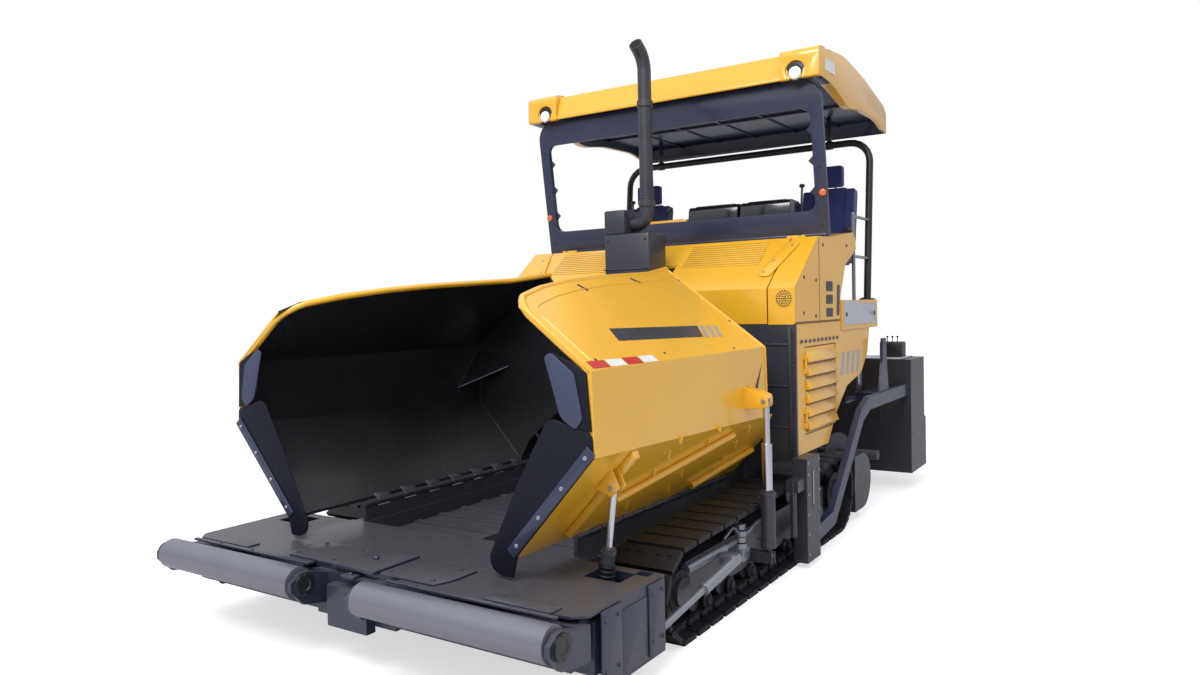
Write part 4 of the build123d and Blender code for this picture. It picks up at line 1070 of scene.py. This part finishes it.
outer = (
    (-frame_half, 0.008), (frame_half, 0.008), (frame_half, frame_length - 0.006, 0.17),
    (-frame_half, frame_length - 0.006, 0.17),
)
window = oblong(-window_half, 0.21, window_half, 1.01, 0.07)
screen = cut(plate(outer, "z", 0.0, 0.05, 0.0), plate(window, "z", -0.1, 0.1, 0.0))
pieces = [on_frame(soften(screen, 0.006))]
for side in (-1, 1):
    for y in (0.36, 0.6, 0.84):
        x = side * window_half
        tab = plate(((x, y - 0.045), (x, y + 0.045), (x - side * 0.045, y)), "z", 0.018, 0.026, 0.002)
        pieces.append(on_frame(tab))
    for y in (0.1, 0.55, 0.95):
        pieces.append(on_frame(bolt((side * 1.31, y, 0.05), to_top, 0.011, 0.007)))
pieces.append(block((-1.335, 0.441, 2.378), (1.335, 0.5, 2.398), 0.004))
roof_beam = plate(
    ((0.345, 3.47), (0.345, 3.598), (0.64, 3.598), (0.64, 3.475), (0.6, 3.445, 0.02), (0.39, 3.445, 0.02)),
    "x", -1.15, 1.15, 0.006,
)
pieces.append(roof_beam)
pieces.append(block((-0.36, 0.4, 3.425), (0.36, 0.59, 3.45), 0.006))
fit(painted(navy_enamel, *pieces), "windscreen_frame", "tractor", "dark_paint", "canopy_frame")
amber = coated("amber lamp lens", "#E0661A", "#E0661A", roughness=0.15, gloss=0.8, edge=0.0, grain=0.0)
lamp = turned(
    [(0.0, 0.0), (0.03, 0.0), (0.03, 0.01), (0.022, 0.022), (0.0, 0.027)],
    (1.327, 0.408, 2.713),
    to_front, 28,
)
ring = turned(
    [(0.026, 0.0), (0.034, 0.0), (0.034, 0.006), (0.03, 0.008)], (1.327, 0.408, 2.713), to_front, 28
)
fit_pair(joined(painted(amber, lamp), painted(black_plastic, ring)), "marker_lamps", "tractor", "dark_paint")

# ---- Roof ----
# A moulded yellow roof: a deep fascia with a proud pod at each front corner, thin side rims that dip and
# rise, and a navy lining. Each pod holds a round white lamp.
roof_half, ceiling = 1.385, 3.6
roof_line = (
    (0.195, 3.575, 0.01),
    (0.207, 3.74, 0.03),
    (0.255, 3.785, 0.03),
    (0.42, 3.815),
    (0.85, 3.862, 0.12),
    (1.5, 3.815),
    (2.2, 3.71),
    (2.3, 3.66, 0.03),
    (2.3, 3.462, 0.02),
    (2.13, 3.475),
    (1.9, 3.53, 0.08),
    (1.35, 3.52, 0.08),
    (1.0, 3.468, 0.08),
    (0.55, 3.56, 0.08),
)
roof = plate(roof_line, "x", -roof_half, roof_half, 0.0)
pocket_tool = block((-1.298, 0.215, 3.0), (1.298, 2.28, ceiling), 0.0)
taper = plate(((1.385, 0.395), (1.318, 2.3), (1.318, 2.4), (1.6, 2.4), (1.6, 0.395)), "z", 3.0, 4.0, 0.0)
fascia = plate(
    ((0.15, 3.56), (0.209, 3.61), (0.268, 3.786), (0.268, 3.9), (0.15, 3.9)), "x", -1.07, 1.07, 0.0
)
cut(roof, pocket_tool, taper, mirrored(taper), fascia)
soften(roof, 0.007)
roof.data.materials.append(yellow_enamel)
second_finish(
    roof,
    navy_enamel,
    lambda middle, normal: abs(middle.x) < 1.302 and 0.21 < middle.y < 2.284 and middle.z < 3.603,
)
pods = []
for side in (-1, 1):
    pod_x = sorted((side * 1.07, side * 1.384))
    pod_line = (
        (0.186, 3.572, 0.012), (0.186, 3.77, 0.02), (0.215, 3.801, 0.02), (0.33, 3.812), (0.33, 3.64),
        (0.225, 3.572),
    )
    pod = plate(pod_line, "x", pod_x[0], pod_x[1], 0.0)
    recess = turned(
        [(0.0, 0.0), (0.082, 0.0), (0.078, 0.05), (0.0, 0.05)], (side * 1.195, 0.16, 3.632), (0, 1, 0), 32
    )
    pods.append(soften(cut(pod, recess), 0.008))
ribs = [
    block((x - 0.012, 0.7, 3.585), (x + 0.012, 2.27, ceiling), 0.003)
    for x in (-0.86, -0.43, 0.0, 0.43, 0.86)
]
ribs.append(block((-1.29, 1.4, 3.578), (1.29, 1.43, ceiling), 0.003))
roof = joined(painted(navy_enamel, *ribs), painted(yellow_enamel, *pods), roof)
fit(roof, "moulded_roof", "tractor", "yellow_paint", "canopy_roof")
lens_white = coated("white lamp lens", "#F4F4F0", "#F4F4F0", roughness=0.12, gloss=0.9, edge=0.0, grain=0.0)
for side, name in ((-1, "right"), (1, "left")):
    centre = (side * 1.195, 0.205, 3.63)
    bowl = turned(
        [(0.0, 0.0), (0.077, 0.0), (0.077, 0.004), (0.054, 0.006), (0.056, 0.02), (0.0, 0.016)],
        centre, to_front, 32,
    )
    lens_spot = (side * 1.195, 0.205, 3.616)
    glass = turned(
        [(0.0, 0.01), (0.052, 0.014), (0.046, 0.028), (0.026, 0.036), (0.0, 0.039)], lens_spot, to_front, 32
    )
    fit(
        joined(painted(black_plastic, bowl), painted(lens_white, glass)),
        f"roof_lamp_{name}", "tractor", "dark_paint",
    )
patch = plate(oblong(0.33, 3.64, 0.56, 3.73), "x", 1.3852, 1.386, 0.0)
fit(painted(film_white, patch), "roof_patch", "tractor", "yellow_paint")

# ---- Rear hoop and handrails ----
# One bent black tube stands behind the seats, bolted to the platform and clamped under the roof. Satin
# grey grab rails run beside the platform, from a post to the tube.
hoop_x = 1.29
hoop_foot = (1.7, 1.876)
hoop_top = (1.85, 3.335)
leg_slope = 0.103
clamp_x = 0.908
hoop_line = [(hoop_x, *hoop_foot), (hoop_x, *hoop_top), (-hoop_x, *hoop_top), (-hoop_x, *hoop_foot)]
tubes = [pipe(hoop_line, 0.032, 0.19, 6)]
rails = []
for side in (-1, 1):
    x = side * hoop_x
    tubes.append(block((x - 0.055, 1.64, 1.87), (x + 0.055, 1.755, 1.884), 0.003))
    for step in (-0.03, 0.03):
        tubes.append(bolt((x + step, 1.658, 1.884), to_top, 0.01, 0.008))
    tubes.append(block((side * clamp_x - 0.018, 1.835, 3.35), (side * clamp_x + 0.018, 1.865, 3.598), 0.003))
    tubes.append(
        turned(
            [(0.033, -0.03), (0.04, -0.028), (0.04, 0.028), (0.033, 0.03)],
            (side * clamp_x, *hoop_top),
            to_left, 28,
        )
    )
    for z in (2.25, 2.6):
        leg_y = hoop_foot[0] + (z - hoop_foot[1]) * leg_slope
        rails.append(pipe([(x, 1.3, z), (x, leg_y, z)], 0.014))
    rails.append(pipe([(x, 1.3, 1.87), (x, 1.3, 2.62)], 0.016))
    rails.append(turned([(0.0, 0.0), (0.016, 0.0), (0.014, 0.01), (0.0, 0.014)], (x, 1.3, 2.62), to_top, 20))
satin_rail = coated("satin grey rail", "#8A8C94", "#B0B2B8", roughness=0.3, gloss=0.3, metallic=0.6)
fit(
    joined(painted(satin_rail, *rails), painted(black_plastic, *tubes)),
    "hoop_and_rails", "tractor", "dark_paint", "rear_hoop",
)

# ---- Console ----
# A yellow dashboard runs across the cab. Two glossy black covers are folded over its instruments, and
# levers with balls and small round gauges stand beside them.
shell = plate(
    ((0.78, 2.47), (0.79, 2.6, 0.015), (1.1, 2.56, 0.03), (1.11, 2.47, 0.02)), "x", -0.56, 0.96, 0.0
)
dash = [soften(shell, 0.006)]
dash.append(block((-0.56, 0.8, 2.56), (-0.08, 1.09, 2.645), 0.012))
dash.append(block((-1.035, 0.64, 2.42), (-0.84, 0.76, 2.6), 0.012))
fit(painted(yellow_enamel, *dash), "dash_top", "tractor", "yellow_paint")
covers = []
for low, high in ((-0.06, 0.42), (0.45, 0.9)):
    line = ((0.8, 2.59), (0.815, 2.745, 0.05), (1.06, 2.735, 0.05), (1.098, 2.69, 0.03), (1.098, 2.56))
    covers.append(soften(plate(line, "x", low, high, 0.0), 0.022))
    covers.append(block((low + 0.05, 0.86, 2.738), (high - 0.05, 1.03, 2.75), 0.006))
    covers.append(pipe([(low - 0.001, 0.8, 2.63), (low - 0.001, 1.1, 2.6)], 0.003))
fit(painted(gloss_plastic, *covers), "instrument_covers", "tractor", "black_cover", "console_covers")
lever = [pipe([(-0.3, 0.9, 2.64), (-0.3, 0.9, 2.73)], 0.008)]
lever.append(
    turned(
        [(0.0, 0.0), (0.02, 0.004), (0.028, 0.02), (0.02, 0.038), (0.0, 0.044)],
        (-0.3, 0.9, 2.722),
        to_top, 24,
    )
)
for x in (-0.5, -0.42, -0.2):
    lever.append(
        turned(
            [(0.0, 0.0), (0.02, 0.0), (0.02, 0.01), (0.016, 0.013), (0.0, 0.013)],
            (x, 0.93, 2.645),
            to_top, 20,
        )
    )
for x in (0.98, -0.7):
    lever.append(pipe([(x, 0.88, 2.36), (x, 0.88, 2.7), (x, 0.9, 2.84)], 0.01, 0.03))
    lever.append(
        turned(
            [(0.0, 0.0), (0.018, 0.004), (0.026, 0.018), (0.018, 0.032), (0.0, 0.036)],
            (x, 0.9, 2.832),
            to_top, 20,
        )
    )
fit(painted(black_plastic, *lever), "levers_and_knobs", "tractor", "black_cover")

# ---- Seats ----
# Two suspension seats in navy cloth, with bolsters, a crowned cushion, a tall back and a headrest on
# posts. Under each is a black folded boot, and beside it stand two black armrests.
def seat_cloth():
    """Woven cloth, with a 4 mm weave and soft creases, painted darker in the creases' hollows as shade."""
    material = bpy.data.materials.new("navy seat cloth")
    tree = emptied(material)
    place = add(tree, "TexCoord").outputs["Object"]
    weave = add(tree, "TexWave", {"Vector": place, "Scale": 80.0, "Distortion": 1.0})
    cross = add(tree, "TexWave", {"Vector": place, "Scale": 80.0}, bands_direction="Z")
    both = add(tree, "Math", {0: weave.outputs["Fac"], 1: cross.outputs["Fac"]}, operation="ADD")
    crease = add(tree, "TexNoise", {"Vector": place, "Scale": 9.0, "Detail": 3.0})
    fine = add(tree, "Bump", {"Height": both.outputs[0], "Distance": 0.0006, "Strength": 0.5})
    bump = add(
        tree, "Bump",
        {"Height": crease.outputs["Fac"], "Distance": 0.012, "Strength": 0.4, "Normal": fine.outputs[0]},
    )
    # the colour darkens where the crease bump is low: painted shade in the creases
    shade = add(tree, "MapRange", {0: crease.outputs["Fac"], 1: 0.3, 2: 0.7, 3: 0.85, 4: 1.15})
    colour = add(tree, "HueSaturation", {"Color": linear("#262F66"), "Value": shade.outputs[0]})
    shader = add(
        tree, "BsdfPrincipled",
        {
            "Base Color": colour.outputs[0], "Roughness": 0.85, "Normal": bump.outputs[0],
            "Sheen Weight": 0.3,
        },
    )
    add(tree, "OutputMaterial", {0: shader.outputs[0]})
    return material


cloth = seat_cloth()


def cushion(low, high, crown, along="z"):
    """A stuffed block: it is cut finer, and its middle swells by the crown towards one axis's high side."""
    low, high = Vector(low), Vector(high)
    piece = block(low, high, 0.0)
    only(piece)
    bpy.ops.object.mode_set(mode="EDIT")
    bpy.ops.mesh.select_all(action="SELECT")
    bpy.ops.mesh.subdivide(number_cuts=5)
    bpy.ops.object.mode_set(mode="OBJECT")
    axis = "xyz".index(along)
    middle = (low + high) / 2
    half = (high - low) / 2

    def inward(point):
        return all(abs(point[side] - middle[side]) < half[side] * 0.9 for side in range(3) if side != axis)

    pick(piece, "VERT", lambda point: abs(point[axis] - high[axis]) < 1e-4 and inward(point))
    step = Vector((0.0, 0.0, 0.0))
    step[axis] = crown
    bpy.ops.transform.translate(value=step)
    bpy.ops.object.mode_set(mode="OBJECT")
    return modified(piece, "SUBSURF", levels=2)


seat_x = 0.96
soft_parts = [cushion((seat_x - 0.185, 1.205, 2.215), (seat_x + 0.185, 1.6, 2.305), 0.02)]
for side in (-1, 1):
    xs = sorted((seat_x + side * 0.18, seat_x + side * 0.25))
    soft_parts.append(cushion((xs[0], 1.2, 2.2), (xs[1], 1.62, 2.325), 0.012))
soft_back = [cushion((seat_x - 0.175, -0.045, 0.0), (seat_x + 0.175, 0.045, 0.58), -0.015, "y")]
for side in (-1, 1):
    xs = sorted((seat_x + side * 0.165, seat_x + side * 0.243))
    soft_back.append(cushion((xs[0], -0.065, 0.02), (xs[1], 0.045, 0.56), 0.0, "y"))
soft_parts.append(laid(joined(*soft_back), (0.0, 1.612, 2.33), radians(-9.9)))
soft_parts.append(cushion((seat_x - 0.13, 1.64, 2.915), (seat_x + 0.13, 1.715, 3.108), 0.0, "y"))
seams = [pipe([(x, 1.215, 2.316), (x, 1.6, 2.318)], 0.0035) for x in (seat_x - 0.183, seat_x + 0.183)]
seat_soft = joined(painted(black_plastic, *seams), painted(cloth, *soft_parts))
hard = [block((seat_x - 0.125, 1.33, 1.87), (seat_x + 0.125, 1.56, 1.89), 0.003)]
for index in range(7):
    z = 1.892 + index * 0.042
    half = 0.11 + 0.012 * (index % 2)
    hard.append(block((seat_x - half, 1.345, z), (seat_x + half, 1.545, z + 0.041), 0.012))
hard.append(block((seat_x - 0.2, 1.24, 2.186), (seat_x + 0.2, 1.61, 2.216), 0.008))
for x in (seat_x - 0.06, seat_x + 0.06):
    hard.append(rod((x, 1.675, 2.86), (x, 1.678, 2.95), 0.007))
for side in (-1, 1):
    x = seat_x + side * 0.228
    hard.append(pipe([(x, 1.655, 2.52), (x, 1.42, 2.5)], 0.02))
seat_hard = painted(black_plastic, *hard)
for side, soft, firm in (
    ("right", mirrored(seat_soft), mirrored(seat_hard)), ("left", seat_soft, seat_hard)
):
    fit(soft, f"seat_cushions_{side}", "tractor", "seat_cover", f"seat_{side}")
    fit(firm, f"seat_base_{side}", "tractor", "black_cover")

# ---- Platform ----
# Raised bars run across the steel floor, for grip. The storage boxes beside it have pale grey lids with
# dark turning catches.
bars = []
for index in range(6):
    y = 1.3 + index * 0.1
    bars.append(block((-1.1, y, 1.87), (1.1, y + 0.006, 1.8715), 0.0))
fit(painted(worn_plate, *bars), "floor_bars", "tractor", "worn_steel")
box_front = plate(
    (
        (0.79, 1.662, 0.02), (1.7, 1.662, 0.02), (1.7, 1.842), (1.24, 1.842), (1.24, 1.862),
        (0.79, 1.862, 0.02),
    ),
    "x", 1.3622, 1.3665, 0.002,
)
catches = [
    turned(
        [(0.0, 0.0), (0.018, 0.0), (0.018, 0.005), (0.008, 0.008), (0.0, 0.008)],
        (1.3665, y, 1.75),
        to_left, 20,
    )
    for y in (0.84, 1.65)
]
pale_enamel = coated("light grey enamel", "#B9BAC0", "#8E9098", roughness=0.35, gloss=0.3)
fit_pair(
    joined(painted(charcoal_enamel, *catches), painted(pale_enamel, box_front)),
    "box_lid", "tractor", "dark_paint",
)

# ---- Towing arms, guides and lift cylinders ----
# An S-shaped arm runs from the front guide over the track to the screed. The guide is a bolted post with a
# screw jack; a lifting ear stands on the arm, and a cylinder lifts it.
arm_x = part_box("tow_arm_left")[0].x
arm_face = arm_x + 0.05
guide_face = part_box("tow_guides")[1].x
guide_parts = []
for z in (0.1, 0.24, 0.38, 0.52, 0.66, 0.74):
    for y in (-0.478, -0.262):
        guide_parts.append(bolt((guide_face, y, z), to_left, 0.01, 0.006))
guide_parts = [painted(zinc_bolt, *guide_parts)]
scale_plate = plate(oblong(-0.392, 0.42, -0.348, 0.69, 0.006), "x", guide_face, guide_face + 0.0025, 0.0)
guide_parts.append(painted(charcoal_enamel, scale_plate))
pale_scale = plate(oblong(-0.38, 0.435, -0.372, 0.675), "x", guide_face + 0.0025, guide_face + 0.003, 0.0)
guide_parts.append(painted(film_white, pale_scale))
fit_pair(joined(*guide_parts), "guide_bolts", "tractor", "dark_paint")

arm_parts = []
for y, z in (
    (-0.16, 0.205), (0.15, 0.245), (0.45, 0.5), (0.72, 0.74), (1.3, 0.99), (2.1, 0.99), (2.3, 0.99)
):
    arm_parts.append(bolt((arm_face, y, z), to_left, 0.013, 0.008))
for y0, y1 in ((1.2, 1.52), (1.86, 2.38)):
    arm_parts.append(block((arm_face - 0.002, y0, 0.965), (arm_face + 0.006, y1, 1.015), 0.003))
ear = plate(
    (
        (1.585, 1.04), (1.775, 1.04), (1.745, 1.3, 0.03), (1.735, 1.5, 0.03), (1.645, 1.5, 0.03),
        (1.625, 1.3, 0.03),
    ),
    "x", arm_x + 0.0245, arm_x + 0.034, 0.003,
)
ear_hole = rod((arm_x - 0.1, 1.69, 1.44), (arm_x + 0.1, 1.69, 1.44), 0.026, 0.0005)
arm_parts.append(cut(ear, ear_hole))
fit_pair(painted(navy_enamel, *arm_parts), "arm_fittings", "screed", "dark_paint")

lift_x, lift_y = 1.21, 1.67
collar = [(0.043, 0.0), (0.047, 0.002), (0.047, 0.028), (0.043, 0.03)]
collars = [turned(collar, (lift_x, lift_y, z), to_top, 32) for z in (1.296, 1.5)]
ports = [rod((lift_x + 0.04, lift_y, z), (lift_x + 0.064, lift_y, z), 0.01) for z in (1.33, 1.47)]
fit_pair(painted(charcoal_enamel, *collars, *ports), "lift_collars", "lift_barrels", "dark_paint")

# ---- Wing cylinders ----
# Dark barrels with rings, a gland and two short ports each. The front one has a ribbed black rubber boot
# on its barrel, against the asphalt.
joint_of = {joint["child"]: joint for joint in frame["record"]["behaviour"]["joints"]}
for name, radius, length in (("front", 0.036, 0.3), ("rear", 0.047, 0.41)):
    foot = Vector(joint_of[f"wing_{name}_barrel_left"]["pos_m"])
    way = Vector(joint_of[f"wing_{name}_rod_left"]["axis"]).normalized()
    if way.z < 0:
        way = -way
    ring = [(radius, 0.0), (radius + 0.005, 0.002), (radius + 0.005, 0.02), (radius, 0.022)]
    fittings = [turned(ring, foot + way * near, way, 32) for near in (0.06, length - 0.022)]
    gland = [(radius * 0.5, 0.0), (radius * 0.9, 0.0), (radius * 0.9, 0.012), (radius * 0.55, 0.016)]
    gland = turned(gland, foot + way * length, way, 32)
    side = way.cross(Vector((0, 1, 0))).normalized()
    for near in (0.1, length - 0.045):
        port = foot + way * near
        fittings.append(rod(port + side * (radius - 0.004), port + side * (radius + 0.018), 0.011))
    boot = []
    if name == "front":
        boot_low, boot_high, fold_count = 0.085, 0.229, 6
        fold_pitch = (boot_high - boot_low) / fold_count
        folds = []
        for fold in range(fold_count):
            low = boot_low + fold * fold_pitch
            folds += [(0.038, low), (0.047, low + fold_pitch / 2)]
        folds += [(0.038, boot_high), (0.0365, boot_high + 0.002)]
        boot.append(painted(black_rubber, turned(folds, foot, way, 32)))
    metal = painted(charcoal_enamel, *fittings, gland)
    fit_pair(joined(*boot, metal), f"{name}_cylinder_rings", f"wing_{name}_barrel", "dark_paint")

# ---- Track frames and valve gear ----
# Rollers' caps, idler hub and final drive show beside each chain. A grease cylinder, a stacked valve
# body and a long grey cylinder lie along the front of the frame.
side_x = track_high.x - 0.02
drive_cover = [
    (0.0, 0.0), (0.165, 0.0), (0.165, 0.012), (0.12, 0.02), (0.115, 0.034), (0.06, 0.036), (0.055, 0.028),
    (0.0, 0.028),
]
idler_hub = [(0.0, 0.0), (0.12, 0.0), (0.12, 0.01), (0.07, 0.016), (0.065, 0.03), (0.0, 0.032)]
drive = []
# each cover's middle and profile, then its bolts' number, circle, place on the cover, radius and height
for (y, z), cover, count, circle, rise, wide, high in (
    (sprocket, drive_cover, 12, 0.142, 0.012, 0.01, 0.008),
    (idler, idler_hub, 8, 0.095, 0.01, 0.009, 0.007),
):
    drive.append(turned(cover, (side_x - 0.05, y, z), to_left, 48))
    for index in range(count):
        turn = 2 * pi * index / count
        spot = (side_x - 0.05 + rise, y + circle * cos(turn), z + circle * sin(turn))
        drive.append(bolt(spot, to_left, wide, high))
for index in range(7):
    y = idler[0] + 0.36 + index * 0.325
    drive.append(
        turned(
            [(0.0, 0.0), (0.052, 0.0), (0.052, 0.008), (0.03, 0.014), (0.028, 0.026), (0.0, 0.028)],
            (side_x - 0.06, y, 0.115),
            to_left, 28,
        )
    )
fit_pair(painted(cast_steel, *drive), "track_hubs", "tractor", "track_steel")
gear = [
    rod((1.3, -1.95, 0.36), (1.3, -1.45, 0.36), 0.032), rod((1.3, -1.45, 0.36), (1.3, -1.28, 0.36), 0.018)
]
gear += [
    rod((1.425, -2.44, 0.215), (1.425, -1.98, 0.275), 0.02),
    rod((1.425, -1.98, 0.275), (1.425, -1.52, 0.335), 0.034),
]
gear.append(block((1.34, -1.6, 0.3), (1.45, -1.52, 0.37), 0.008))
for step, radius in enumerate((0.05, 0.042, 0.05, 0.036)):
    gear.append(
        turned(
            [(0.0, 0.0), (radius, 0.003), (radius, 0.036), (0.0, 0.04)],
            (1.3, -1.2, 0.3 + step * 0.04),
            to_top, 28,
        )
    )
gear.append(block((1.255, -1.26, 0.225), (1.345, -1.14, 0.305), 0.006))
gear.append(
    pipe([(1.3, -1.16, 0.36), (1.3, -1.05, 0.38), (1.29, -0.95, 0.4), (1.28, -0.7, 0.4)], 0.012, 0.04)
)
gear.append(pipe([(1.315, -1.24, 0.4), (1.318, -1.34, 0.47), (1.31, -1.46, 0.42)], 0.009, 0.03))
fit_pair(painted(satin_rail, *gear), "valve_gear", "tractor", "bright_steel")

# ---- Screed and walkway ----
# A dark box across the rear with a pale top plate, a seam at its waist, end plates and handles. A
# control box stands at each end, and the walkway behind has a bar tread.
screed_low, screed_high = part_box("screed_body")
screed_y, screed_z = screed_low.y, screed_high.z
screed_parts = [block((-1.4, screed_y + 0.03, screed_z), (1.4, screed_y + 0.5, screed_z + 0.01), 0.004)]
for x in (-0.93, -0.47, 0.0, 0.47, 0.93):
    screed_parts.append(
        block(
            (x - 0.006, screed_y + 0.028, screed_z + 0.008),
            (x + 0.006, screed_y + 0.502, screed_z + 0.014), 0.002,
        )
    )
fit(painted(pale_enamel, *screed_parts), "screed_top_plate", "screed", "dark_paint")
dark = []
for x in (-1.5, 1.5):
    outward = x / 1.5
    xs = sorted((x - outward * 0.012, x - outward * 0.0004))
    dark.append(block((xs[0], 2.42, 0.64), (xs[1], 2.96, 0.68), 0.003))
for z in (0.672, 1.23):
    dark.append(block((-1.48, 2.3985, z - 0.01), (1.48, 2.4005, z + 0.01), 0.0))
for x in (-1.2, -0.72, -0.24, 0.24, 0.72, 1.2):
    dark.append(block((x - 0.012, 2.388, 0.69), (x + 0.012, 2.402, 1.22), 0.003))
    dark.append(
        pipe(
            [
                (x + 0.06, 2.942, 1.16), (x + 0.06, 2.972, 1.15), (x + 0.06, 2.972, 1.03),
                (x + 0.06, 2.942, 1.02),
            ],
            0.008, 0.012,
        )
    )
    dark.append(block((x - 0.2, 2.9395, 0.76), (x + 0.2, 2.945, 1.18), 0.004))
fit(painted(charcoal_enamel, *dark), "screed_ribs", "screed", "dark_paint")
controls = []
for x in (-1.25, 1.25):
    controls.append(block((x - 0.11, 2.62, screed_z + 0.008), (x + 0.11, 2.8, screed_z + 0.16), 0.012))
    controls.append(block((x - 0.095, 2.6, screed_z + 0.05), (x + 0.095, 2.622, screed_z + 0.15), 0.004))
    for dx in (-0.05, 0.0, 0.05):
        controls.append(pipe([(x + dx, 2.7, screed_z + 0.155), (x + dx, 2.7, screed_z + 0.205)], 0.005))
        controls.append(
            turned(
                [(0.0, 0.0), (0.01, 0.004), (0.013, 0.013), (0.0, 0.024)],
                (x + dx, 2.7, screed_z + 0.2),
                to_top, 16,
            )
        )
fit(painted(black_plastic, *controls), "screed_controls", "screed", "black_cover")
tread = []
for index in range(28):
    x = -1.35 + index * 0.1
    if min(abs(x - rib) for rib in (-1.38, -0.69, 0.0, 0.69, 1.38)) > 0.025:
        tread.append(block((x - 0.012, 3.03, 0.36), (x + 0.012, 3.42, 0.364), 0.0))
fit(painted(worn_plate, *tread), "walkway_tread", "screed", "worn_steel")
